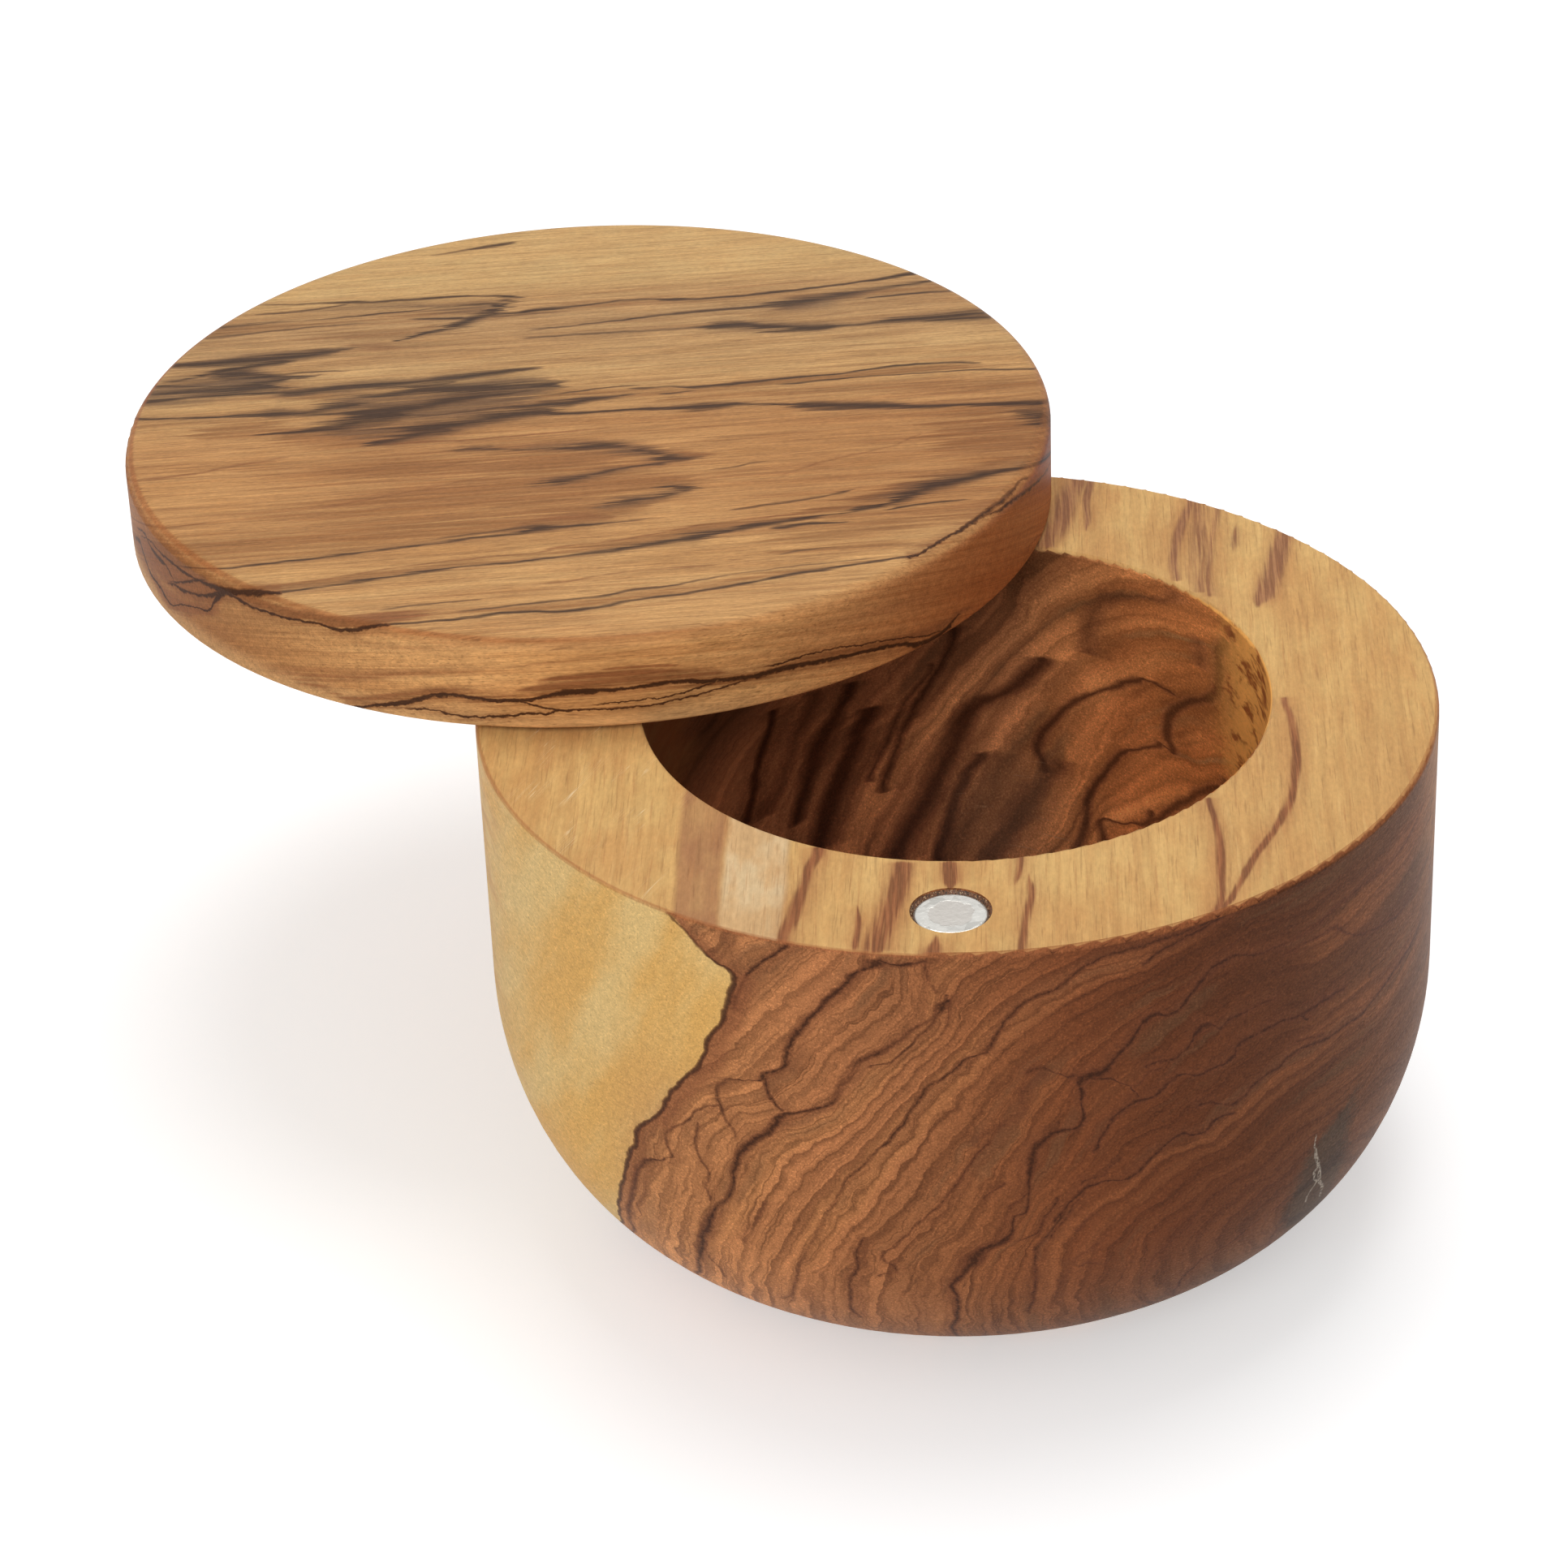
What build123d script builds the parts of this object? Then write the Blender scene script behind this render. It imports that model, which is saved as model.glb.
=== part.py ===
"""Turned wooden salt keeper: a thick round bowl whose disc lid swings sideways on an upright
steel pin and is held shut by a pair of small round magnets.

Frame, in millimetres: the origin is the centre of the bowl's flat base, +Z is up, the magnets'
place is at the front (-Y) and the pivot pin at the back (+Y). The lid stands swung open.
"""

import os
from math import radians, tan

from build123d import *

# --- Bowl -----------------------------------------------------------------------------------
BOWL_RADIUS = 54.0  # outer radius of the upright side
BOWL_HEIGHT = 62.0
SIDE_DEPTH = 32.0  # upright side, from the rim down to where the round begins
BASE_RADIUS = 31.0  # flat base
BORE_RADIUS = 35.3  # salt hollow
BORE_DEPTH = 50.0
BORE_SIDE_DEPTH = 22.0  # upright side of the hollow, down to where its round begins
FLOOR_RADIUS = 10.0  # flat middle of the hollow's floor
RIM_EDGE_RADIUS = 0.6  # worn outer edge of the rim
MOUTH_EDGE_RADIUS = 0.5  # worn edge of the hollow's mouth

# --- Lid ------------------------------------------------------------------------------------
LID_OVERHANG = 1.5  # how far the lid stands out past the bowl's side
LID_THICKNESS = 11.2
LID_TOP_EDGE_RADIUS = 1.6
LID_BOTTOM_EDGE_RADIUS = 0.4
LID_CLEARANCE = 0.3  # running gap between the rim and the lid
OPEN_ANGLE = 94.3  # degrees that the lid stands swung open, clockwise from above

# --- Pivot pin ------------------------------------------------------------------------------
PIN_INSET = 9.5  # from the bowl's side in to the pin's axis, at the back
PIN_RADIUS = 2.5
PIN_DEPTH_IN_BOWL = 16.0
PIN_DEPTH_IN_LID = 7.5
PIN_CHAMFER = 0.5
PIN_PRESS = 0.02  # radial interference of the pin in the bowl
PIN_RUNNING_CLEARANCE = 0.05  # radial clearance of the lid on the pin
PIN_END_GAP = 0.3  # from the pin's top to the end of the lid's hole
DRILL_POINT_ANGLE = 118.0  # full angle of the cone that the drill leaves in the bowl

# --- Magnets --------------------------------------------------------------------------------
MAGNET_INSET = 8.7  # from the bowl's side in to the magnet's axis, at the front
MAGNET_RADIUS = 4.0
MAGNET_THICKNESS = 3.0
MAGNET_EDGE_RADIUS = 0.4
MAGNET_SETBACK = 0.4  # how far a magnet's face lies below the wood
GLUE_WIDTH = 0.35  # ring of glue between a magnet and the wall of its hole
GLUE_SETBACK = 0.2  # how far the glue's outer edge lies below the wood

# --- Worked out from the sizes above ----------------------------------------------------------
LID_RADIUS = BOWL_RADIUS + LID_OVERHANG
LID_BOTTOM = BOWL_HEIGHT + LID_CLEARANCE
PIVOT_OFFSET = BOWL_RADIUS - PIN_INSET
MAGNET_OFFSET = BOWL_RADIUS - MAGNET_INSET
PIN_BOTTOM = BOWL_HEIGHT - PIN_DEPTH_IN_BOWL
PIN_TOP = LID_BOTTOM + PIN_DEPTH_IN_LID
MAGNET_HOLE_RADIUS = MAGNET_RADIUS + GLUE_WIDTH
MAGNET_HOLE_DEPTH = MAGNET_THICKNESS + MAGNET_SETBACK
PIVOT_AXIS = Axis((0, PIVOT_OFFSET, 0), (0, 0, 1))

# Where each magnet's hole starts and which way it is drilled: the frame's own Z runs out of
# the hole's mouth. The lid's one is given for the closed lid.
BOWL_MAGNET_FACE = Location((0, -MAGNET_OFFSET, BOWL_HEIGHT))
LID_MAGNET_FACE = Location((0, -MAGNET_OFFSET, LID_BOTTOM), (180, 0, 0))


def quarter_round(flat_radius, side_radius, low, high):
    """Quarter ellipse in a half section: level at flat_radius, low; upright at side_radius, high."""
    return EllipticalCenterArc(
        center=(flat_radius, high),
        x_radius=side_radius - flat_radius,
        y_radius=high - low,
        start_angle=270,
        arc_size=90,
    )


def make_bowl_blank():
    """The bowl as it leaves the lathe, before its rim is drilled."""
    floor = BOWL_HEIGHT - BORE_DEPTH
    with BuildPart() as blank:
        with BuildSketch(Plane.XZ):
            with BuildLine():
                outside = quarter_round(BASE_RADIUS, BOWL_RADIUS, 0, BOWL_HEIGHT - SIDE_DEPTH)
                inside = quarter_round(
                    FLOOR_RADIUS, BORE_RADIUS, floor, BOWL_HEIGHT - BORE_SIDE_DEPTH
                )
                rim_outer = (BOWL_RADIUS, BOWL_HEIGHT)
                rim_inner = (BORE_RADIUS, BOWL_HEIGHT)
                Polyline(outside @ 1, rim_outer, rim_inner, inside @ 1)
                Polyline(inside @ 0, (0, floor), (0, 0), outside @ 0)
            make_face()
        revolve(axis=Axis.Z)
        rim_edges = blank.edges().filter_by(GeomType.CIRCLE).group_by(Axis.Z)[-1]
        mouth_edge, outer_edge = rim_edges.sort_by(SortBy.RADIUS)
        fillet(mouth_edge, MOUTH_EDGE_RADIUS)
        fillet(outer_edge, RIM_EDGE_RADIUS)
    return blank.part


def make_pin_hole():
    """Drilled hole for the pin's pressed end, down to the cone of the drill's point."""
    radius = PIN_RADIUS - PIN_PRESS
    cone_depth = radius / tan(radians(DRILL_POINT_ANGLE / 2))
    with BuildPart() as hole:
        with BuildSketch(Plane.XZ):
            with BuildLine():
                Polyline(
                    (0, BOWL_HEIGHT),
                    (radius, BOWL_HEIGHT),
                    (radius, PIN_BOTTOM),
                    (0, PIN_BOTTOM - cone_depth),
                    close=True,
                )
            make_face()
        revolve(axis=Axis.Z)
    return Pos(0, PIVOT_OFFSET, 0) * hole.part


def make_magnet_hole():
    """Flat-bottomed hole for a magnet, its mouth at Z 0 and its floor below."""
    return Pos(0, 0, -MAGNET_HOLE_DEPTH / 2) * Cylinder(MAGNET_HOLE_RADIUS, MAGNET_HOLE_DEPTH)


def make_bowl():
    """The bowl with its two holes in the rim: the pin's at the back, the magnet's in front."""
    return make_bowl_blank() - make_pin_hole() - BOWL_MAGNET_FACE * make_magnet_hole()


def make_closed_lid():
    """The lid over the bowl: a flat disc, round on top, with two blind holes underneath."""
    pin_hole_radius = PIN_RADIUS + PIN_RUNNING_CLEARANCE
    pin_hole_depth = PIN_DEPTH_IN_LID + PIN_END_GAP
    with BuildPart() as lid:
        with Locations((0, 0, LID_BOTTOM)):
            Cylinder(LID_RADIUS, LID_THICKNESS, align=(Align.CENTER, Align.CENTER, Align.MIN))
        rims = lid.edges().filter_by(GeomType.CIRCLE).sort_by(Axis.Z)
        fillet(rims[-1], LID_TOP_EDGE_RADIUS)
        fillet(rims[0], LID_BOTTOM_EDGE_RADIUS)
        with Locations((0, PIVOT_OFFSET, LID_BOTTOM)):
            Cylinder(
                pin_hole_radius,
                pin_hole_depth,
                align=(Align.CENTER, Align.CENTER, Align.MIN),
                mode=Mode.SUBTRACT,
            )
    return lid.part - LID_MAGNET_FACE * make_magnet_hole()


def make_pivot_pin():
    """Steel dowel pin, chamfered at both ends, upright in the rim."""
    with BuildPart() as pin:
        with Locations((0, PIVOT_OFFSET, PIN_BOTTOM)):
            Cylinder(
                PIN_RADIUS, PIN_TOP - PIN_BOTTOM, align=(Align.CENTER, Align.CENTER, Align.MIN)
            )
        chamfer(pin.edges().filter_by(GeomType.CIRCLE), PIN_CHAMFER)
    return pin.part


def make_magnet():
    """Disc magnet with rounded edges, lying on the floor of its hole, whose mouth is at Z 0."""
    with BuildPart() as magnet:
        with Locations((0, 0, -MAGNET_HOLE_DEPTH)):
            Cylinder(
                MAGNET_RADIUS, MAGNET_THICKNESS, align=(Align.CENTER, Align.CENTER, Align.MIN)
            )
        fillet(magnet.edges().filter_by(GeomType.CIRCLE), MAGNET_EDGE_RADIUS)
    return magnet.part


def make_glue_ring():
    """Ring of set glue round a magnet, dished between the wood and the magnet's rounded edge."""
    magnet_shoulder = -MAGNET_SETBACK - MAGNET_EDGE_RADIUS
    with BuildPart() as ring:
        with BuildSketch(Plane.XZ):
            with BuildLine():
                sides = Polyline(
                    (MAGNET_RADIUS, magnet_shoulder),
                    (MAGNET_RADIUS, -MAGNET_HOLE_DEPTH),
                    (MAGNET_HOLE_RADIUS, -MAGNET_HOLE_DEPTH),
                    (MAGNET_HOLE_RADIUS, -GLUE_SETBACK),
                )
                SagittaArc(sides @ 1, sides @ 0, GLUE_WIDTH / 5)
            make_face()
        revolve(axis=Axis.Z)
    return ring.part


def swung_open(closed_piece):
    """A piece of the closed lid, turned about the pin to where the open lid carries it."""
    return closed_piece.rotate(PIVOT_AXIS, -OPEN_ANGLE)


def make_parts():
    """Every piece of the salt keeper, each under its own name."""
    return {
        "bowl": make_bowl(),
        "bowl_magnet": BOWL_MAGNET_FACE * make_magnet(),
        "bowl_magnet_glue": BOWL_MAGNET_FACE * make_glue_ring(),
        "pivot_pin": make_pivot_pin(),
        "lid": swung_open(make_closed_lid()),
        "lid_magnet": swung_open(LID_MAGNET_FACE * make_magnet()),
        "lid_magnet_glue": swung_open(LID_MAGNET_FACE * make_glue_ring()),
    }


def main():
    os.makedirs("parts", exist_ok=True)
    for name, solid in make_parts().items():
        export_step(solid, f"parts/{name}.step")


if __name__ == "__main__":
    main()
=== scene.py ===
"""Turned olive-wood salt keeper with a swivelling lid: materials, light and camera."""

import math

import bpy
from bpy.props import FloatProperty, FloatVectorProperty, PointerProperty
from mathutils import Matrix, Vector


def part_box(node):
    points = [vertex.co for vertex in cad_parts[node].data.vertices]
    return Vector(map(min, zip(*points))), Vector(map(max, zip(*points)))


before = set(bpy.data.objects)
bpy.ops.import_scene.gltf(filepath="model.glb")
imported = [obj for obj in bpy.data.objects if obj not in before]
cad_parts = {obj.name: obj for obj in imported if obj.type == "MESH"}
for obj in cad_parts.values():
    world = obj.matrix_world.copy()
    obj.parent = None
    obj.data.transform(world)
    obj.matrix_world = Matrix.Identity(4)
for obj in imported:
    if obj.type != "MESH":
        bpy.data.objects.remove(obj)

bl_info = {
    "name": "Swivel Lid Salt Keeper",
    "version": (1, 0, 0),
    "blender": (4, 5, 0),
    "location": "3D Viewport > Sidebar > Salt Keeper",
    "description": "Dresses a turned olive-wood salt keeper with its woods, metals and a plain stage",
    "category": "Material",
}

MM = 1000.0
WHITE = (1.0, 1.0, 1.0, 1.0)

LID_LOW, LID_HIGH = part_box("lid")
# The middle of the lid's top face, in mm.
LID_TOP = (
    (LID_LOW.x + LID_HIGH.x) / 2 * MM,
    (LID_LOW.y + LID_HIGH.y) / 2 * MM,
    LID_HIGH.z * MM,
)
MAGNET_LOW, MAGNET_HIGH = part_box("bowl_magnet")
BOWL_MAGNET_CENTRE = tuple((MAGNET_LOW + MAGNET_HIGH) / 2 * MM)

# How far the bump of the woods reaches, in metres.
WOOD_RELIEF = 0.00025


def srgb(red, green, blue):
    """A colour given as 0 to 255 display values, as the linear one that Blender stores."""
    linear = []
    for value in (red, green, blue):
        part = value / 255.0
        linear.append(part / 12.92 if part <= 0.04045 else ((part + 0.055) / 1.055) ** 2.4)
    return tuple(linear)


def share_of(value, span):
    """Where a number lies between the ends of a span, from 0 to 1."""
    return (value - span[0]) / (span[1] - span[0])


# ---------------------------------------------------------------- node writing


class NodeWriter:
    """Adds nodes to one tree and links them, so a material reads as a list of sums."""

    def __init__(self, tree):
        self.tree = tree
        self.column = 0

    def add(self, kind, **settings):
        node = self.tree.nodes.new(kind)
        node.location = (180 * (self.column % 24), -220 * (self.column // 24))
        self.column += 1
        for name, value in settings.items():
            setattr(node, name, value)
        return node

    def put(self, socket, value):
        if isinstance(value, bpy.types.NodeSocket):
            self.tree.links.new(value, socket)
        elif socket.type == "RGBA" and len(value) == 3:
            socket.default_value = (*value, 1.0)
        else:
            socket.default_value = value

    def math(self, operation, *values, clamp=False):
        node = self.add("ShaderNodeMath", operation=operation, use_clamp=clamp)
        for socket, value in zip(node.inputs, values):
            self.put(socket, value)
        return node.outputs[0]

    def chain(self, operation, first, *others):
        for other in others:
            first = self.math(operation, first, other)
        return first

    def plus(self, *values):
        return self.chain("ADD", *values)

    def times(self, *values):
        return self.chain("MULTIPLY", *values)

    def most(self, *values):
        return self.chain("MAXIMUM", *values)

    def minus(self, first, second):
        return self.math("SUBTRACT", first, second)

    def rest(self, share):
        """What a share lacks to 1."""
        return self.minus(1.0, share)

    def share(self, value, span):
        """Where a value lies between the ends of a span, from 0 to 1."""
        return self.math("DIVIDE", self.minus(value, span[0]), span[1] - span[0])

    def line(self, value, slope, offset):
        return self.math("MULTIPLY_ADD", value, slope, offset)

    def fade(self, value, start, end, low=0.0, high=1.0):
        """A soft step from low at start to high at end."""
        node = self.add("ShaderNodeMapRange", interpolation_type="SMOOTHSTEP", clamp=True)
        for name, number in zip(
            ("Value", "From Min", "From Max", "To Min", "To Max"),
            (value, start, end, low, high),
        ):
            self.put(node.inputs[name], number)
        return node.outputs["Result"]

    def near(self, value, level, core, reach):
        """1 where value is within core of level, and 0 from reach on."""
        return self.fade(self.math("ABSOLUTE", self.line(value, 1.0, -level)), core, reach, 1.0, 0.0)

    def vector(self, operation, first, second=None, scale=None):
        node = self.add("ShaderNodeVectorMath", operation=operation)
        self.put(node.inputs[0], first)
        if second is not None:
            self.put(node.inputs[1], second)
        if scale is not None:
            self.put(node.inputs["Scale"], scale)
        return node.outputs["Value" if operation in ("DOT_PRODUCT", "LENGTH") else "Vector"]

    def scaled(self, vector, scale):
        return self.vector("SCALE", vector, scale=scale)

    def length(self, x, y):
        return self.vector("LENGTH", self.join(x, y, 0.0))

    def split(self, vector):
        node = self.add("ShaderNodeSeparateXYZ")
        self.put(node.inputs[0], vector)
        return tuple(node.outputs)

    def join(self, x, y, z):
        node = self.add("ShaderNodeCombineXYZ")
        for socket, value in zip(node.inputs, (x, y, z)):
            self.put(socket, value)
        return node.outputs[0]

    def noise(self, vector, detail=2.0, roughness=0.5, scale=1.0, output="Fac"):
        node = self.add("ShaderNodeTexNoise")
        self.put(node.inputs["Vector"], vector)
        node.inputs["Scale"].default_value = scale
        node.inputs["Detail"].default_value = detail
        node.inputs["Roughness"].default_value = roughness
        return node.outputs[output]

    def stretched_noise(self, place, stretch, *quality, **options):
        """Noise with its own scale along each axis."""
        return self.noise(self.vector("MULTIPLY", place, stretch), *quality, **options)

    def fibre_noise(self, along, across, stretch, layer, *quality):
        """Noise over two coordinates with a scale each, on a layer of its own."""
        flat = (self.times(along, stretch[0]), self.times(across, stretch[1]))
        return self.noise(self.join(*flat, layer), *quality)

    def blend(self, factor, under, over, mode="MIX"):
        """The over colour laid on the under colour by factor."""
        node = self.add("ShaderNodeMix", data_type="RGBA", blend_type=mode, clamp_factor=True)
        for place, value in ((0, factor), (6, under), (7, over)):
            self.put(node.inputs[place], value)
        return node.outputs[2]

    def lay(self, colour, *layers):
        """Lays (share, colour) layers on a colour, one after another."""
        for share, over in layers:
            colour = self.blend(share, colour, over)
        return colour

    def filtered(self, share, colour, glass):
        """A colour multiplied by another one, by share."""
        return self.blend(share, colour, self.blend(1.0, colour, glass, "MULTIPLY"))

    def toned(self, colour, tone):
        """A colour made lighter or darker by a grey tone near 1."""
        return self.blend(1.0, colour, self.join(tone, tone, tone), "MULTIPLY")

    def shades(self, value, stops, interpolation="LINEAR"):
        """A colour ramp with (place, colour) stops."""
        node = self.add("ShaderNodeValToRGB")
        ramp = node.color_ramp
        ramp.interpolation = interpolation
        while len(ramp.elements) < len(stops):
            ramp.elements.new(0.5)
        for element, (place, colour) in zip(ramp.elements, stops):
            element.position = place
        for element, (place, colour) in zip(ramp.elements, stops):
            element.color = (*colour, 1.0)
        self.put(node.inputs["Fac"], value)
        return node.outputs["Color"]

    def curve(self, value, points):
        """A value read off a drawn line of (0 to 1, 0 to 1) points."""
        node = self.add("ShaderNodeFloatCurve")
        draw_curve(node.mapping, node.mapping.curves[0], points)
        self.put(node.inputs["Value"], value)
        return node.outputs["Value"]

    def three_curves(self, value, points):
        """Three values read off drawn lines, from (place, first, second, third) points."""
        node = self.add("ShaderNodeRGBCurve")
        for channel in range(3):
            drawn = [(point[0], point[channel + 1]) for point in points]
            draw_curve(node.mapping, node.mapping.curves[channel], drawn)
        self.put(node.inputs["Color"], value)
        return node.outputs["Color"]

    def group(self, name, **values):
        """Places a shared node group and fills its inputs."""
        node = self.add("ShaderNodeGroup")
        node.node_tree = shared_group(name)
        for label, value in values.items():
            self.put(node.inputs[label], value)
        return node.outputs


def draw_curve(mapping, curve, points):
    points = sorted(points)
    while len(curve.points) < len(points):
        curve.points.new(0.5, 0.5)
    for knot, (place, value) in zip(curve.points, points):
        knot.location = (place, value)
    for knot in curve.points:
        knot.handle_type = "AUTO_CLAMPED"
    mapping.extend = "HORIZONTAL"
    mapping.update()


FLOAT = "NodeSocketFloat"
VECTOR = "NodeSocketVector"
COLOUR = "NodeSocketColor"

# The half width that a full value in a vein's curve stands for, in mm.
VEIN_WIDTH_SPAN = 10.0


def new_group(name, inputs, outputs):
    """A shader node group with named sockets, and the writer that fills it."""
    tree = bpy.data.node_groups.new(name, "ShaderNodeTree")
    for label, kind, default in inputs:
        socket = tree.interface.new_socket(name=label, in_out="INPUT", socket_type=kind)
        if default is not None:
            socket.default_value = default
    for label in outputs:
        tree.interface.new_socket(name=label, in_out="OUTPUT", socket_type=FLOAT)
    writer = NodeWriter(tree)
    start = writer.add("NodeGroupInput").outputs
    end = writer.add("NodeGroupOutput").inputs
    return tree, writer, start, end


def drawn_vein_group():
    """A vein that follows a drawn line: its own peaked profile, and the soft stain beside it."""
    inputs = [
        ("Across", FLOAT, 0.0),
        ("Drawn", COLOUR, None),
        ("Range", FLOAT, 100.0),
        ("Stain", FLOAT, 2.0),
        ("Lean", FLOAT, 0.0),
    ]
    tree, w, start, end = new_group("drawn_vein", inputs, ["Line", "Stain"])
    parts = w.add("ShaderNodeSeparateColor")
    w.put(parts.inputs[0], start["Drawn"])
    centre, width, strength = parts.outputs
    half = w.times(width, VEIN_WIDTH_SPAN)
    aside = w.times(w.minus(start["Across"], centre), start["Range"])
    share = w.math("DIVIDE", w.math("ABSOLUTE", aside), w.line(half, 1.4, 0.05))
    w.put(end["Line"], w.times(w.math("SUBTRACT", 1.0, share, clamp=True), strength))
    leaned = w.math("ABSOLUTE", w.minus(aside, w.times(start["Lean"], start["Stain"])))
    reach = w.plus(half, start["Stain"])
    w.put(end["Stain"], w.times(w.fade(leaned, half, reach, 1.0, 0.0), strength))
    return tree


def fibre_group():
    """Fine fibre lines and pores, long along the first axis of the position."""
    inputs = [("Position", VECTOR, None), ("Length", FLOAT, 0.05), ("Coarse", FLOAT, 1.0)]
    tree, w, start, end = new_group("wood_fibre", inputs, ["Lines", "Pores", "Height"])
    along, across, up = w.split(start["Position"])
    squeezed = w.join(w.times(along, start["Length"]), across, up)
    squeezed = w.scaled(squeezed, start["Coarse"])
    lines = w.noise(squeezed, 3.0, 0.65, scale=1.4)
    w.put(end["Lines"], w.fade(lines, 0.3, 0.7))
    pores = w.noise(squeezed, 1.0, 0.5, scale=4.2)
    w.put(end["Pores"], w.fade(pores, 0.6, 0.74))
    w.put(end["Height"], w.minus(w.times(lines, 0.6), w.times(pores, 0.4)))
    return tree


def scratch_group():
    """A few long thin scratches that all run nearly one way."""
    inputs = [("Position", VECTOR, None), ("Sparse", FLOAT, 0.6)]
    tree, w, start, end = new_group("fine_scratches", inputs, ["Mask"])
    along, across, up = w.split(start["Position"])
    bent = w.fibre_noise(along, across, (0.05, 0.05), up, 1.0)
    across = w.plus(across, w.times(bent, 3.0))
    thin = w.fibre_noise(along, across, (0.06, 2.6), up, 0.0)
    mask = w.fade(w.math("ABSOLUTE", w.minus(thin, 0.5)), 0.004, 0.02, 1.0, 0.0)
    places = w.fibre_noise(along, across, (0.13, 0.35), up, 1.0)
    w.put(end["Mask"], w.times(mask, w.fade(places, start["Sparse"], 0.78)))
    return tree


def shared_group(name):
    """The node group of that name, built the first time it is asked for."""
    builders = {
        "drawn_vein": drawn_vein_group,
        "wood_fibre": fibre_group,
        "fine_scratches": scratch_group,
    }
    return bpy.data.node_groups.get(name) or builders[name]()


def new_material(name, roughness):
    """An empty material, its writer and its shader."""
    material = bpy.data.materials.new(name)
    material.use_nodes = True
    material.node_tree.nodes.clear()
    w = NodeWriter(material.node_tree)
    shader = w.add("ShaderNodeBsdfPrincipled")
    shader.inputs["Roughness"].default_value = roughness
    surface = w.add("ShaderNodeOutputMaterial")
    w.put(surface.inputs["Surface"], shader.outputs[0])
    return material, w, shader


def place_and_normal(w):
    """The shaded point in mm, in the frame that all the pieces share, and where it faces."""
    spot = w.add("ShaderNodeTexCoord").outputs
    return w.scaled(spot["Object"], MM), spot["Normal"]


def finish_surface(w, shader, colour, roughness, height, relief, strength):
    """Links a colour and a roughness, and a bump of that relief in metres."""
    w.put(shader.inputs["Base Color"], colour)
    w.put(shader.inputs["Roughness"], roughness)
    bump = w.add("ShaderNodeBump")
    bump.inputs["Strength"].default_value = strength
    bump.inputs["Distance"].default_value = relief
    w.put(bump.inputs["Height"], height)
    w.put(shader.inputs["Normal"], bump.outputs[0])


# ---------------------------------------------------------------- drawn veins


def carried(veins):
    """Veins in mm, from points (first, second, half width, strength) with those two in
    hundredths, where a point that lacks them keeps those of the point before."""
    filled = []
    for vein in veins:
        weight = [0, 0]
        points = []
        for first, second, *given in vein:
            weight[:len(given)] = given
            points.append((first, second, weight[0] / 100, weight[1] / 100))
        filled.append(points)
    return filled


def one_way_runs(points):
    """Splits a vein wherever it turns back along its first value, each run rising."""
    runs = [[points[0]]]
    heading = 0
    for before, point in zip(points, points[1:]):
        way = 1 if point[0] > before[0] else -1
        if way == -heading:
            runs.append([before])
        heading = way
        runs[-1].append(point)
    return [sorted(run) for run in runs]


def rows_of(veins, gap):
    """Packs runs that do not overlap into shared rows, each faded out just past its ends."""
    rows = []
    runs = [run for vein in veins for run in one_way_runs(vein)]
    for run in sorted(runs, key=lambda run: run[0][0]):
        first, last = run[0], run[-1]
        run = [(first[0] - gap, *first[1:3], 0.0), *run, (last[0] + gap, *last[1:3], 0.0)]
        for row in rows:
            if row[-1][0] + gap < run[0][0]:
                row.extend(run)
                break
        else:
            rows.append(run)
    return rows


class Sheet:
    """Two coordinates to draw veins over, and the span in mm that each of them covers."""

    def __init__(self, w, along, across, along_span, across_span):
        self.w = w
        self.spans = (along_span, across_span)
        self.width = across_span[1] - across_span[0]
        self.place = w.share(along, along_span)
        self.side = w.share(across, across_span)

    def shares(self, first, second):
        """The place of a drawn point on the sheet, from 0 to 1 each way."""
        return share_of(first, self.spans[0]), share_of(second, self.spans[1])

    def follow(self, vein):
        """How far across a drawn line lies, in mm, at each place along the sheet."""
        points = [self.shares(first, second) for first, second, *_ in vein]
        return self.w.line(self.w.curve(self.place, points), self.width, self.spans[1][0])

    def draw(self, veins, stain=1.0, lean=0.0, gap=0.7):
        """Lays veins over each other, and gives their lines and the stains beside them."""
        w = self.w
        lines, stains = 0.0, 0.0
        for row in rows_of(veins, gap):
            points = [
                (*self.shares(first, second), width / VEIN_WIDTH_SPAN, strength)
                for first, second, width, strength in row
            ]
            out = w.group(
                "drawn_vein",
                Across=self.side,
                Drawn=w.three_curves(self.place, points),
                Range=self.width,
                Stain=stain,
                Lean=lean,
            )
            lines = w.most(out["Line"], lines)
            stains = w.most(out["Stain"], stains)
        return lines, stains

    def lines(self, veins, **options):
        return self.draw(veins, **options)[0]


# ---------------------------------------------------------------- the bowl's wood

# The pith's (x, height) at the front, in mm. The figure seen there drifts sideways towards the
# back by this much per mm, from this far in front of the bowl's axis.
PITH = (39.5, 17.0)
FIBRE_DRIFT = 0.08
DRIFT_START = 50.0
TURN_SPAN = (60.0, 240.0)
RING_SPAN = (0.0, 100.0)
HEIGHT_SPAN = (0.0, 62.0)
SIDE_SPAN = (-60.0, 60.0)

# Outside and inside of the bowl: radius, base radius, and the heights where the upright side
# and the round below it begin.
OUTSIDE = (54.0, 31.0, 32.0, 0.0)
INSIDE = (35.3, 10.0, 34.0, 12.0)

# Pairs of radii, in mm, between which one look fades into another: the hollow's figure into the
# outside's, the hollow's own wall, its mouth, and the corner where the rim rounds over.
WALL_MIDDLE = (37.0, 39.5)
HOLLOW_WALL = (38.0, 36.0)
HOLLOW_MOUTH = (37.0, 36.0)
RIM_CORNER = (52.4, 53.4)

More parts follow.
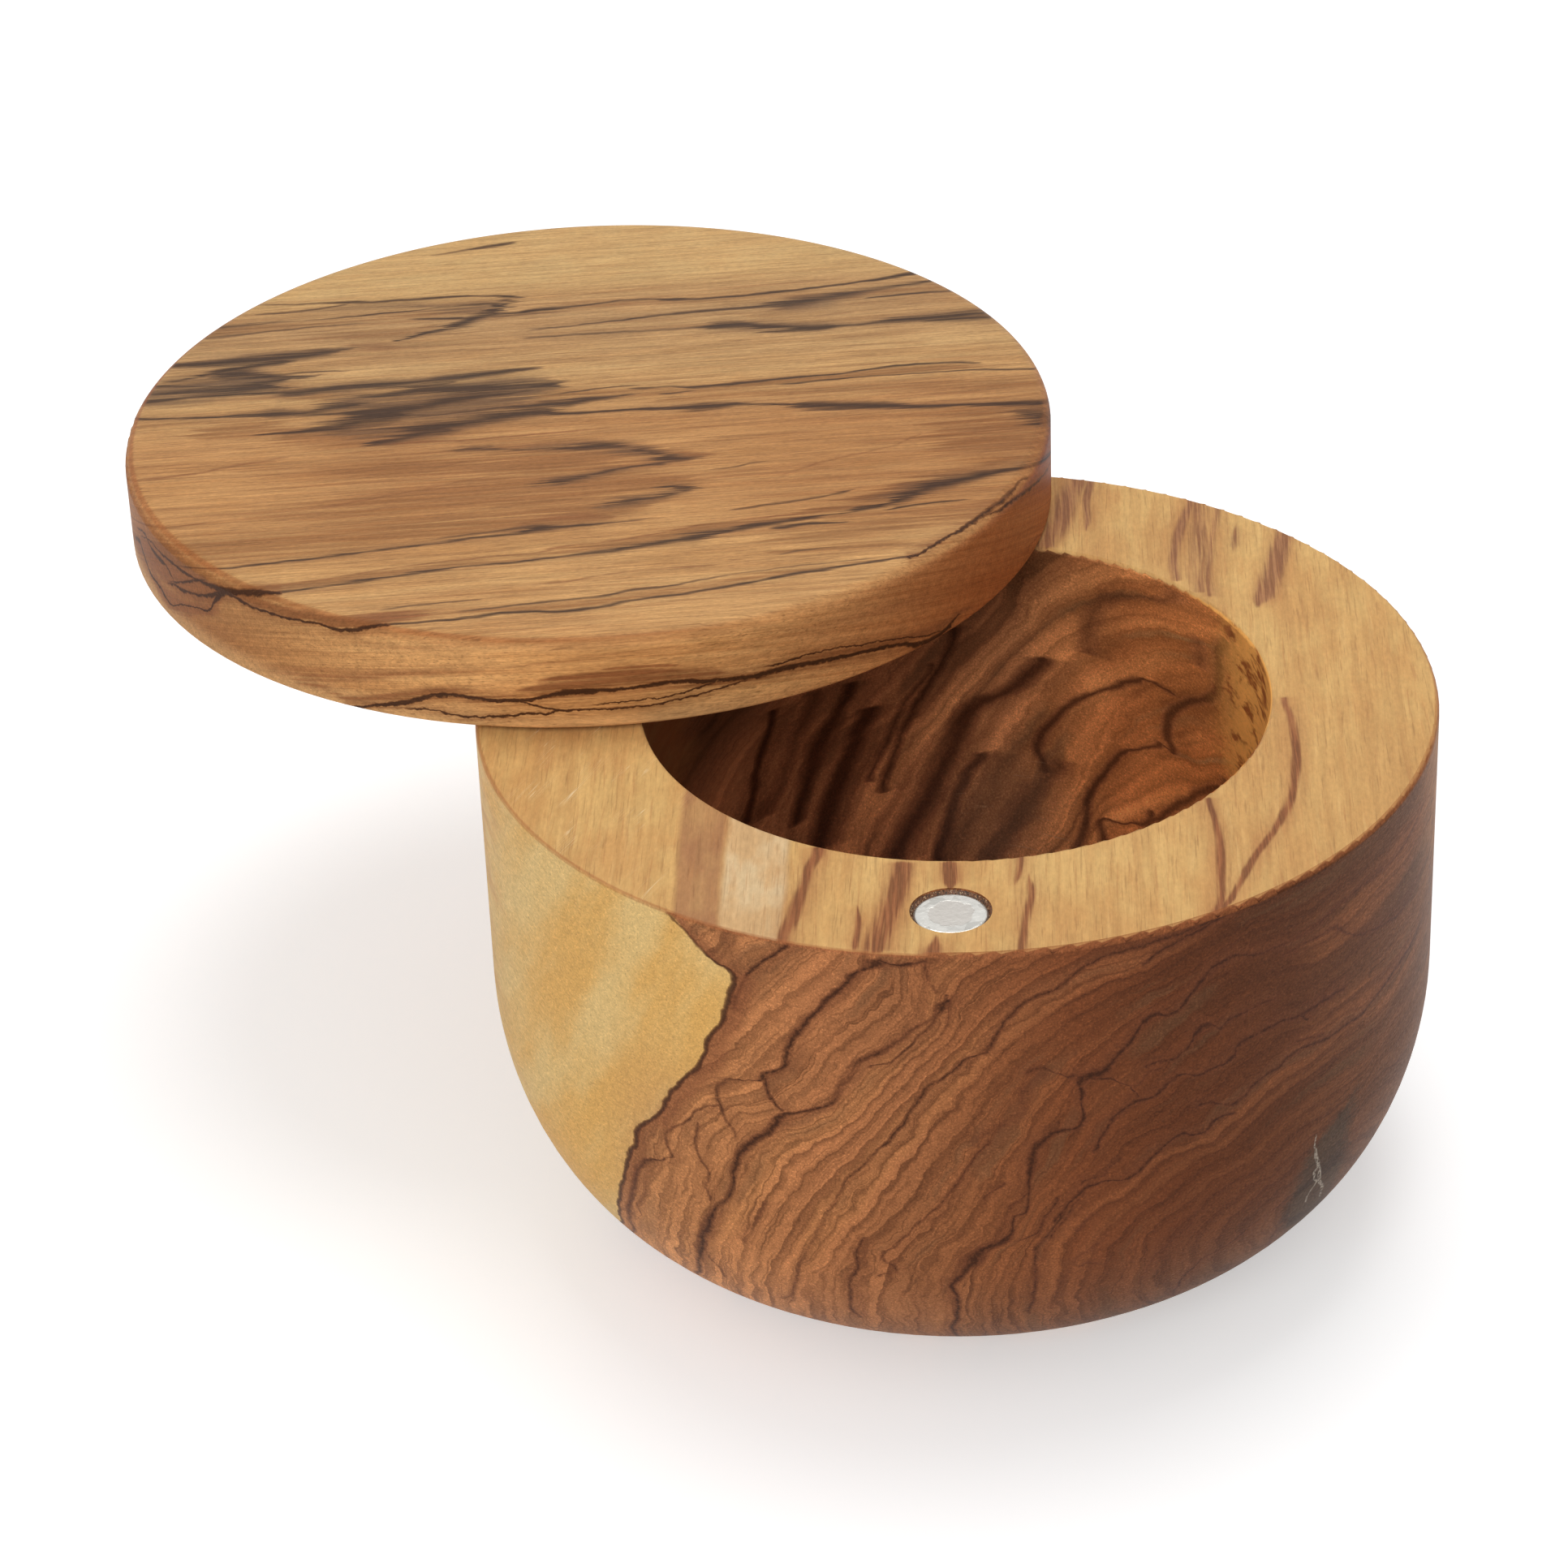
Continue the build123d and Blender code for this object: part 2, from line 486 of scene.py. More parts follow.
# Pairs of heights, in mm, for the hollow's mouth and for the face of the rim, and how directly
# a side has to face the front or the back before it is end grain.
MOUTH_HEIGHT = (36.0, 44.0)
RIM_HEIGHT = (59.0, 61.0)
END_GRAIN_FACING = (0.12, 0.4)

# Rings inside the first guide line count this many times over, as they lie closer together.
CORE_RINGS = 2.2

# How wide a ring beyond the last guide line is, as a share of RING_SPAN.
OUTER_RING_SHARE = 0.14

# Colours of the end grain from left to right, of the hollow's tint over it, which also paints the
# lid's shadow as a darkening to the left, and of the turned sides by their ring.
# The end grain darkens to the right, partly in the wood's own tone and partly as painted shade.
END_GRAIN_TONE_AND_SHADE = [
    (0.16, srgb(190, 130, 82)), (0.27, srgb(184, 122, 76)), (0.38, srgb(174, 112, 70)),
    (0.46, srgb(158, 100, 62)), (0.54, srgb(140, 84, 50)), (0.62, srgb(120, 67, 38)),
    (0.72, srgb(98, 53, 29)), (0.82, srgb(93, 52, 29)), (1.00, srgb(112, 72, 45)),
]
HOLLOW_TINT_AND_LID_SHADOW = [
    (0.05, (0.145, 0.16, 0.21)), (0.30, (0.26, 0.29, 0.34)), (0.55, (0.44, 0.54, 0.60)),
    (0.75, (0.97, 1.20, 1.14)), (1.00, (1.40, 1.76, 1.48)),
]
SIDE_BY_RING = [
    (0.00, srgb(122, 84, 58)), (0.18, srgb(128, 84, 54)), (0.34, srgb(116, 74, 46)),
    (0.50, srgb(150, 100, 62)), (0.66, srgb(168, 116, 72)), (0.90, srgb(162, 108, 66)),
]

# Where each vein meets the bowl, as (x, height, half width, strength) points: the first two in
# mm, and the last two in hundredths, where a point that lacks them keeps those before it.
SAPWOOD_EDGE = [
    [(-29.5, 62, 50, 50), (-27.5, 60.2), (-25.9, 58.4, 40, 60), (-22.9, 56.3, 35, 90),
     (-23.4, 53.8, 30), (-24.1, 51.6), (-24.5, 49.9), (-25.8, 47.7), (-26.5, 45.2), (-27.2, 43.4),
     (-28.4, 41.6), (-29.5, 39.9), (-31.1, 37.4), (-31.6, 35.6), (-33.3, 33.4), (-34.7, 31.3),
     (-35, 29.5), (-35.8, 27.4), (-36.6, 23.8, 25, 80), (-37.4, 19.9), (-37.8, 16.3, 25, 70),
     (-37.9, 13.1), (-38.3, 10.2), (-39.6, 6, 30), (-40, 3.4)],
]
STANDING_VEINS = [
    [(-31.6, 29.3, 30, 60), (-33.1, 28.4, 50, 90), (-34, 27.2, 50, 100), (-34.9, 25.6, 40, 90),
     (-35.4, 23.4), (-35.9, 20.9), (-36.5, 18.1), (-36.6, 15.2, 30, 80), (-36.6, 12),
     (-37, 9.5, 30, 70)],
    [(-17, 62, 35, 100), (-18.4, 60.2), (-19.9, 58.6), (-20.9, 57.4), (-22, 55.6), (-22.7, 53.8),
     (-23.1, 52, 30, 80)],
    [(-3, 61.3, 80, 80), (-5, 60.8, 130, 100), (-7.7, 60.9, 110), (-9.9, 59.3, 45, 95),
     (-11.3, 57.4), (-12.7, 55.9), (-13.8, 54.3), (-15.2, 52.5), (-16.3, 50.9), (-17, 49.5),
     (-17.4, 47.7), (-17.7, 46.3), (-18.8, 45.4), (-19.9, 44.5), (-20.6, 43.6, 50, 90),
     (-22.4, 43.4), (-23.8, 43.1, 40, 80), (-24.5, 42.4, 35, 70), (-25.2, 40.9, 30), (-25, 39.5),
     (-24.5, 37.7, 30, 60), (-23.6, 36.6, 25, 50), (-23.4, 35.2, 20, 30)],
    [(-19.9, 44.1, 30, 80), (-19.5, 42), (-18.6, 40.9), (-18.1, 40.6)],
    [(-0.2, 56.6, 40, 70), (-0.8, 55.9, 80, 90), (-1.6, 54.5, 40, 60), (-3.1, 53.4),
     (-4.9, 51.9, 50), (-6.5, 50.4, 60, 70), (-7.7, 49.5, 70, 80), (-9.9, 48.1, 70, 60),
     (-10.9, 46.6, 70, 50), (-11.8, 44.9, 60), (-12.4, 43.1, 50, 70), (-13.4, 42, 60, 80),
     (-14.9, 41.3, 60, 90), (-16.6, 40.6), (-18.1, 39.9, 70, 100), (-19.1, 38.4), (-20.6, 36.6),
     (-22, 34.9), (-22.9, 33.4, 60), (-23.6, 31.3, 45, 90), (-24, 29.1, 40, 80), (-24.5, 27.4),
     (-25.9, 25.2), (-26.6, 23.4, 50, 90), (-27.4, 20.9, 60), (-27.9, 18.4, 70), (-28.3, 16.3, 60),
     (-28.6, 13.8, 50, 80), (-28.8, 10.9, 40), (-29.5, 8.4, 40, 70)],
    [(-8.6, 47.7, 25, 70), (-7, 48.4), (-5.4, 49.6), (-3.9, 51.4), (-2.4, 53.2), (-1, 55.4),
     (-0.3, 57.1)],
    [(-2.4, 60.9, 40, 40), (-2.2, 58.8), (-1.6, 57.4)],
    [(3.7, 49.9, 40, 80), (1.6, 49.1), (0.1, 47.7, 35), (-0.9, 47), (-2.4, 45.6), (-4.3, 42.6),
     (-6.3, 39.1), (-8.4, 36.6, 30, 70), (-9.9, 34.9), (-11.6, 32.4, 30, 60), (-12.4, 30.6, 30, 50),
     (-13.8, 27.7, 50, 40), (-15.2, 24.5), (-16.3, 21.6), (-17, 19.1, 40), (-17.7, 15.9),
     (-18.1, 13.1), (-19.1, 11.3)],
    [(3.7, 38.8, 30, 60), (2.3, 37), (0.5, 33.4), (-0.2, 32.4), (-1.3, 30.9), (-2.9, 28.8),
     (-4.3, 27.3), (-5.8, 25.6), (-6.6, 24.1), (-7.7, 23.4), (-7.9, 22.4), (-6.6, 21.3),
     (-6.4, 20.4), (-6.8, 20.2), (-8.4, 19.5)],
    [(-9.9, 25.2, 30, 50), (-10.6, 23.1, 30, 70), (-10.9, 20.2), (-11.5, 17.4), (-11.6, 14.5),
     (-11.6, 12.4), (-10.6, 10.2, 30, 50)],
    [(-20.6, 27.7, 50, 35), (-21.3, 25.6), (-22.4, 23.4), (-23.1, 20.9)],
    [(-27.4, 15.9, 25, 50), (-26.3, 14.5), (-25.9, 12.4)],
    [(-25.2, 39.1, 25, 60), (-26.3, 38.4), (-27.7, 37.4), (-28.4, 36.3), (-29.5, 34.9),
     (-30.9, 33.4), (-31.3, 31.6), (-30.6, 29.9), (-31.6, 29.3)],
    [(-27.7, 35.6, 25, 60), (-27.9, 33.4), (-27.7, 31.3), (-26.6, 29.5), (-27, 27.7),
     (-26.6, 25.9)],
    [(25.9, 24.5, 20, 50), (25.1, 22.4), (22.3, 19.9), (20.5, 17), (19.8, 14.5)],
    [(36.2, 19.9, 30, 70), (35.1, 18.8), (31.9, 18.1), (29.8, 16.3), (27.3, 15.6), (25.9, 14.5),
     (25.1, 13.4), (24.1, 10.6), (23.7, 7.7)],
    [(36.6, 15.6, 30, 60), (35.1, 13.4), (34.6, 11.3), (34.6, 8.4), (34.8, 5.2)],
    [(13, 30.9, 30, 70), (11.9, 29.1), (10.9, 27), (9.8, 25.6), (8.7, 23.8), (8.4, 22), (8.4, 19.1),
     (8.2, 16.3), (8, 14.1), (7.8, 12, 30, 50)],
    [(13.7, 31.3, 25, 60), (12.6, 29.1), (11.2, 26.6), (10.2, 25.2)],
    [(10.9, 30.2, 25, 70), (9.8, 28.1), (8.4, 25.9), (6.9, 25.2), (5.1, 24.9)],
    [(14.4, 27.7, 50, 40), (13, 25.6)],
    [(15.1, 23.4, 60, 35), (13, 21.3), (11.9, 19.1), (10.9, 16.3), (10.1, 12.7)],
    [(7.6, 31.6, 25, 60), (6.6, 30.6), (5.9, 29.5)],
    [(3, 30.9, 25, 60), (4.1, 32), (5.1, 33.1)],
    [(13.5, 20.1, 60, 50), (14.3, 20.4), (15.2, 19.9)],
]
RING_VEINS = [
    [(28.4, 61.8, 35, 75), (25.1, 61.1), (21.2, 60.8), (18.4, 60.4), (15.1, 59.9), (13, 58.8),
     (11.6, 57.4), (9.4, 56.6), (7.3, 55.6), (5.9, 54.1), (4.8, 52), (3.7, 49.9)],
    [(34.4, 54.9, 35, 60), (31.6, 55, 35, 70), (30.1, 55.9, 35, 80), (27.6, 55.6, 35, 90),
     (26.6, 54.5), (25.1, 53.1), (24.1, 51.6), (23, 51.1), (21.6, 51.6), (20.1, 51.3), (19.4, 49.9),
     (18.4, 48.8), (17.3, 47.7), (16.2, 46.3, 50, 100), (14.4, 45.6, 90), (13.4, 45.2),
     (13.4, 44.1, 70), (13.4, 42.4, 40, 90), (13.8, 40.6), (13.4, 39.5), (11.6, 39.1), (10.1, 38.6),
     (8.7, 37.4, 60, 100), (8.4, 35.9), (8, 33.8, 40, 90), (7.6, 31.6, 30, 80), (7.5, 29.1, 25),
     (6.2, 28.3), (5.9, 26.6, 30, 90), (5.1, 25.2, 50), (3.7, 24.3, 70, 100), (2.3, 23.4, 90),
     (1.8, 22, 80), (0.9, 20.6, 50), (-0.2, 19.1), (-0.6, 18.1, 40), (0, 16.6, 35, 90), (0.1, 14.5),
     (-0.2, 12), (-0.5, 9.9), (-0.4, 7), (-0.2, 4.9)],
    [(13.4, 45.2, 30, 80), (14.8, 45), (16.2, 44.9), (17.6, 44.1), (18.7, 43.1), (19.4, 41.8)],
    [(15, 35.9, 35, 80), (15.4, 37.4), (16.4, 38.8), (17.5, 40.2), (18.9, 41.1), (20.4, 41.3),
     (21.4, 41.5), (22.5, 42.4), (23.6, 43.1), (24.6, 43.1), (25.7, 42.4), (27.1, 42.7),
     (28.9, 42.9), (29.8, 43.4), (30.2, 44.5), (32.1, 44.9), (35, 44.9), (37.1, 44.5), (40.4, 44.5),
     (42.1, 44.5, 30, 50)],
    [(37.1, 44.5, 30, 80), (37.9, 43.4)],
    [(20.4, 45.2, 30, 70), (21.8, 45.6), (23.6, 45.6), (25, 46.6), (25.5, 47.7, 50, 90),
     (26.4, 48.3, 70), (27.5, 47.9, 30, 70), (28.2, 47.4), (29.3, 48.1), (31.4, 48.4),
     (34.6, 48.4, 30, 50)],
    [(19.3, 43.1, 30, 50), (20.7, 44.5), (22.1, 44.9)],
    [(25.7, 38.4, 35, 80), (27.1, 38.3), (28.2, 37.7), (29.3, 37.2), (30.7, 37.4), (31.8, 38.3),
     (33.2, 38.8), (34.6, 39.1), (35.7, 39.9), (37.9, 40), (40, 39.5), (42.1, 39.3), (43.9, 39.1),
     (45.7, 39.5), (47.9, 40.2), (50, 40.8), (51.8, 41.3), (52.9, 42.4)],
    [(36.4, 41.3, 30, 60), (38.2, 40.6), (39.6, 40.2)],
    [(10.7, 27.4, 30, 85), (11.4, 28.4), (12.1, 29.5), (13.2, 30.8), (14.3, 31.5), (15.7, 31.7),
     (16.8, 31.6), (17.9, 31.3), (18.9, 31.6), (20, 32.4), (20.7, 33.1), (21.8, 34.1), (22.9, 35),
     (24.3, 35.4), (25.7, 35), (27.1, 34.9), (27.5, 35.6), (28.2, 35.9), (30, 35.8)],
    [(13.6, 32, 25, 60), (14.6, 32.4), (16.1, 32.5), (16.6, 33.4), (17.5, 34.1)],
    [(8, 47, 50, 70), (9.8, 47.4), (10.9, 46.6), (12.6, 45.9)],
    [(9.8, 47, 100, 35), (7.6, 44.9), (7.3, 42), (5.1, 40.6), (2.3, 38.4)],
    [(27.1, 54.5, 40, 50), (27.9, 55.2), (30, 55.8), (31.4, 55.2), (35, 54.7), (38.6, 54.9),
     (40.4, 55.6), (43.9, 55.9), (47.5, 55.6), (50, 56.3), (52.9, 57.7)],
    [(35, 53.4, 35, 60), (37.9, 53.4), (40.7, 53.1), (42.1, 51.6), (43.2, 50.2), (45, 49.1),
     (47.1, 48.1), (48.9, 47.4), (50.7, 47.9), (52.9, 49.1)],
    [(20.4, 58.4, 30, 80), (21.4, 59.1), (22.9, 59.9), (25, 60.6), (27.1, 61.1), (29.3, 61.8)],
]
PITH_PATCH = [
    [(44, 30, 80, 20), (42.4, 27.5, 160, 60), (41, 25, 220, 90), (40.2, 22, 280, 100),
     (39.6, 18, 320), (38.8, 14, 300, 90), (38.6, 10, 260, 60), (39.2, 6, 200, 50),
     (40.4, 3, 120, 40)],
]
PITH_SCRATCH = [
    [(39.1, 26.8, 6, 80), (39.3, 24.5, 10, 90), (39.5, 22.4, 14), (40, 19.9, 20),
     (40.2, 17.4, 16, 80), (40.4, 15.2, 10, 60)],
    [(39.6, 22.6, 10, 80), (39.2, 21), (39.5, 19.6), (40, 18.9)],
    [(39.8, 19.5, 10, 70), (38.6, 17.7, 12, 80), (38.4, 16.3, 10, 70)],
]
SAPWOOD_FLECK = [
    [(-23.5, 62, 130, 90), (-23, 59.5), (-22.8, 57.5)],
]
EDGE_GLOW = [
    [(-21.6, 56, 120, 80), (-22.4, 52), (-24, 48), (-26, 43), (-28.6, 39.5), (-31.4, 34)],
]

# The same on the far wall of the hollow.
HOLLOW_VEINS = [
    [(-22.2, 43.9, 56, 90), (-23.3, 40.5), (-24.3, 37.4), (-24.8, 34.3), (-25.6, 31.6)],
    [(-17.5, 44.3, 128, 50), (-19.1, 40.5), (-20.6, 36.6), (-21.8, 33.5), (-23.3, 31.2)],
    [(-13.3, 44.3, 96, 80), (-14.1, 42), (-16.8, 38.2, 176, 90), (-17.9, 35.1, 128),
     (-19.1, 31.2, 96, 80), (-19.8, 28.9)],
    [(-11, 40.5, 144, 95), (-12.5, 37.4), (-13.7, 34.3), (-15.2, 31.2), (-16.4, 28.2),
     (-17.2, 25.5)],
    [(-3.3, 45.5, 64, 60), (-5.2, 42.8), (-6.8, 40.5), (-9.1, 35.8), (-9.8, 34.3), (-11, 31.2)],
    [(-0.6, 50.5, 80, 70), (-2.2, 45.8), (-4.1, 42.8), (-5.6, 39.7), (-7.2, 36.6), (-8.3, 33.5),
     (-9.5, 30)],
    [(9.8, 47, 176, 85), (8.2, 44.7), (5.5, 42), (3.2, 40.8), (0.9, 38.9), (-0.6, 35.1), (-2.2, 32),
     (-3.7, 28.9), (-5.2, 26.6), (-6.4, 25), (-7.9, 22.4)],
    [(2.5, 33.5, 96, 90), (0.9, 31.2), (-0.6, 28.5), (-1.8, 25), (-2.9, 21.6)],
    [(25, 47.2, 80, 85), (23.2, 47.8), (22.1, 47.8), (20.2, 46.6), (17.8, 44.7), (15.2, 43.2),
     (12.8, 40.8), (10.5, 37.8), (9.4, 35.8), (9.2, 34.7), (10.2, 32.8), (10.3, 32)],
    [(12.1, 33.5, 192, 50), (9.8, 30.5), (7.1, 27.4), (5.5, 24.3), (3.6, 21.2)],
    [(30.9, 58.9, 80, 90), (30.2, 56.2), (30.2, 52.4), (29.4, 49.7), (27.5, 47.8), (25.5, 45.5),
     (24.6, 43.5), (24.6, 41.2), (25.2, 39.3)],
    [(25.2, 39.3, 64, 85), (23.6, 39.7), (22.1, 38.2), (19.8, 37), (18.2, 34.7), (16.7, 32.4),
     (15.5, 30.5), (15.2, 28.5), (14.8, 26.2), (14, 23.9)],
    [(31.3, 40.1, 80, 85), (29.4, 37.4), (27.5, 35.1), (25.2, 32), (22.8, 29.7), (20.9, 28.5),
     (18.6, 28.2), (16.7, 27.4), (17.1, 25.5)],
    [(22.8, 30.8, 64, 80), (22.5, 28.6)],
    [(25.5, 60.8, 160, 50), (22.8, 58.9), (19.8, 58.2), (17.5, 56.6), (15.9, 54.7), (15.5, 52),
     (15.2, 48.9)],
    [(28, 56.4, 128, 50), (28.2, 55), (28.3, 53)],
    [(31.7, 60.5, 56, 70), (32.3, 55), (31.7, 49.3)],
    [(33.4, 58, 80, 50), (33.2, 52), (33.6, 46)],
]

# The same on the rim, with y in place of the height.
RIM_STREAKS = [
    [(-14.2, -33, 68, 75), (-15.2, -37), (-16, -42), (-16.5, -46), (-17.2, -51)],
    [(-9.6, -44, 16, 9), (-9.5, -48, 54, 62), (-9.8, -52)],
    [(-5.3, -36, 135, 69), (-5.6, -40), (-6.3, -45), (-7, -49), (-7.5, -52.5)],
    [(-0.3, -36, 108, 75), (-0.2, -39), (-0.2, -41.5, 32, 11)],
    [(-1.5, -50, 32, 11), (-1.8, -53.5, 108, 75)],
    [(7.3, -35, 54, 56), (7.2, -38), (6.8, -41, 16, 8)],
    [(8.3, -38, 14, 9), (8.6, -42, 47, 62), (8.2, -45), (7.6, -50), (7.3, -53)],
    [(27.6, -23.5, 41, 69), (28.2, -28), (28.4, -34), (28.2, -40), (28, -44), (27.5, -46.5)],
    [(36.8, -2, 47, 69), (37.4, -6), (37.5, -11), (37.1, -18), (36.2, -24), (34.8, -29),
     (33.5, -32), (32, -35.3), (30.7, -39), (29.3, -43), (27.8, -46.7)],
    [(14.3, 52, 149, 62), (13.2, 47), (12.2, 42), (11, 37), (10.3, 34.5)],
    [(15.9, 51, 54, 62), (15.5, 46), (15.4, 41), (15, 38, 16, 9)],
    [(27.7, 45.5, 68, 62), (26.9, 42), (26.2, 38), (25.6, 34), (25.3, 30), (25.5, 26)],
    [(28.5, 45, 162, 38), (28.8, 40), (28.5, 34), (28, 28), (28.6, 23)],
    [(30.6, 44, 68, 38), (30.1, 38), (29.6, 32), (29.4, 26), (29.5, 22)],
    [(33, 40, 20, 6), (32.8, 36, 68, 38), (32.5, 32, 20, 6)],
    [(38.8, 38, 122, 69), (38, 34), (37.4, 30), (36.6, 26), (35.8, 22), (35, 19, 37, 10)],
]
RIM_PINK = [
    [(-24, -14, 230, 90), (-26.6, -22), (-26.8, -36), (-26.6, -52)],
]
RIM_CREAM = [
    [(-20.6, -18, 290, 100), (-20.8, -34), (-20.8, -52)],
]

# Guide lines that the growth rings follow: (turn from straight down in degrees, distance).
GUIDES = [
    [
        (60, 34.5), (81, 32.6), (93, 31.4), (108, 30.5), (122, 26.8), (134, 25.0),
        (145, 22.2), (176, 23.1), (195, 23.1), (202, 26.2), (240, 28.0),
    ],
    [
        (60, 44.0), (80, 40.8), (93, 39.3), (100, 37.7), (104, 35.4), (118, 35.0),
        (138, 37.5), (166, 38.7), (178, 35.7), (190, 37.5), (240, 40.0),
    ],
    [
        (60, 62.0), (86, 58.2), (97, 55.3), (106, 52.1), (119, 50.2), (146, 48.5),
        (159, 45.6), (190, 48.0), (240, 50.0),
    ],
    [
        (60, 73.0), (83, 69.2), (98, 65.7), (107, 63.9), (114, 58.6), (124, 56.8),
        (130, 56.0), (138, 60.4), (180, 60.0), (240, 62.0),
    ],
]


def without_drift(x, z, shape, side):
    """The x that a point on the bowl has once the drift of the fibres is taken off."""
    full, base, top, floor = shape
    share = min(max((top - z) / (top - floor), 0.0), 1.0)
    radius = base + (full - base) * math.sqrt(1.0 - share * share)
    y = side * math.sqrt(max(radius * radius - x * x, 0.0))
    return x - FIBRE_DRIFT * (y + DRIFT_START)


def by_height(veins, shape=OUTSIDE, side=-1.0):
    """Veins drawn on the front, or on the side given, with their height first."""
    return [
        [(z, without_drift(x, z, shape, side), width, strength) for x, z, width, strength in vein]
        for vein in carried(veins)
    ]


def by_depth(veins):
    return [[(y, x, width, strength) for x, y, width, strength in vein] for vein in carried(veins)]


def by_turn(veins):
    """Veins with their turn round the pith first, in degrees, and then their distance from it."""
    turned = []
    for vein in by_height(veins):
        points = []
        for z, x, width, strength in vein:
            px, pz = PITH[0] - x, z - PITH[1]
            turn = math.degrees(math.atan2(pz, px)) + 90.0
            points.append((turn, math.hypot(px, pz), width, strength))
        turned.append(points)
    return turned


class BowlSpot:
    """The shaded point of the bowl: its place in mm, the figure's own x and height there, how
    far it lies outside the hollow, on a turned side and on end grain, and past the sapwood."""

    def __init__(self, w):
        self.place, normal = place_and_normal(w)
        self.x, self.y, self.z = w.split(self.place)
        self.radius = w.length(self.x, self.y)
        self.outside = w.fade(self.radius, *WALL_MIDDLE)
        self.in_hollow = w.rest(self.outside)
        self.inside = w.fade(self.radius, *HOLLOW_WALL)
        _, facing_y, self.facing_up = w.split(normal)

        wander = w.stretched_noise(self.place, (0.45, 0.05, 0.45), 2.0, 0.5, output="Color")
        wander_x, _, wander_z = w.split(w.vector("SUBTRACT", wander, (0.5, 0.5, 0.5)))
        drift = w.times(w.plus(self.y, DRIFT_START), -FIBRE_DRIFT)
        self.xs = w.plus(self.x, drift, wander_x)
        self.zs = w.plus(self.z, wander_z)

        # End grain shows in front and behind, more of it by the hollow's mouth, and meets the
        # long grain of the left side in a ragged line.
        mouth = w.times(w.fade(self.radius, *HOLLOW_MOUTH), w.fade(self.z, *MOUTH_HEIGHT))
        meeting = w.stretched_noise(self.place, (0.05, 0.05, 0.3), 3.0, 0.6)
        meeting = w.times(w.line(meeting, 0.7, -0.35), w.fade(self.x, -20.0, -40.0))
        facing = w.plus(w.math("ABSOLUTE", facing_y), meeting, w.times(mouth, -0.2))
        rim_face = w.times(w.fade(self.facing_up, 0.6, 0.85), w.fade(self.z, *RIM_HEIGHT))
        self.on_side = w.rest(rim_face)
        self.end_grain = w.times(w.fade(facing, *END_GRAIN_FACING), self.on_side)

        self.ragged = w.stretched_noise(self.place, (2.2, 0.1, 2.2), 1.0)
        self.upright = Sheet(w, self.zs, self.xs, HEIGHT_SPAN, SIDE_SPAN)
        self.past_edge = w.minus(self.xs, self.upright.follow(by_height(SAPWOOD_EDGE)[0]))


class Rings:
    """The growth rings: how many lie between a point and the pith, and noises along them."""

    def __init__(self, w, spot):
        px = w.minus(PITH[0], spot.xs)
        pz = w.minus(spot.zs, PITH[1])
        self.distance = w.length(px, pz)
        turn = w.line(w.math("ARCTAN2", pz, px), 180.0 / math.pi, 90.0)
        self.turn = w.math("WRAP", turn, 360.0, 0.0)
        self.field = self.count(w)
        wobble = w.stretched_noise(spot.place, (0.3, 0.02, 0.3), 2.0, 0.6)
        self.waved = w.plus(self.field, w.line(wobble, 0.16, -0.08))
        swirl = w.times(w.plus(px, pz), 0.05)

        def along_rings(fineness, spin, depth, *quality):
            stretched = (w.times(self.waved, fineness), w.times(swirl, spin), w.times(spot.y, depth))
            return w.noise(w.join(*stretched), *quality)

        self.broad = along_rings(2.6, 1.0, 0.01, 1.0)
        self.band = along_rings(7.0, 1.2, 0.01, 1.0)
        self.fine = along_rings(26.0, 2.4, 0.02, 2.0, 0.6)

    def count(self, w):
        """Counts rings out from the pith: 1 at the first guide line, 2 at the second and so on."""
        place = w.share(self.turn, TURN_SPAN)
        out = w.share(self.distance, RING_SPAN)
        guides = []
        for line in GUIDES:
            points = [(share_of(turn, TURN_SPAN), share_of(far, RING_SPAN)) for turn, far in line]
            guides.append(w.curve(place, points))
        field = w.times(w.math("DIVIDE", out, guides[0], clamp=True), CORE_RINGS)
        for inner, outer in zip(guides, guides[1:]):
            gone = w.minus(out, inner)
            field = w.plus(field, w.math("DIVIDE", gone, w.minus(outer, inner), clamp=True))
        beyond = w.math("DIVIDE", w.minus(out, guides[-1]), OUTER_RING_SHARE)
        return w.plus(field, w.most(beyond, 0.0))


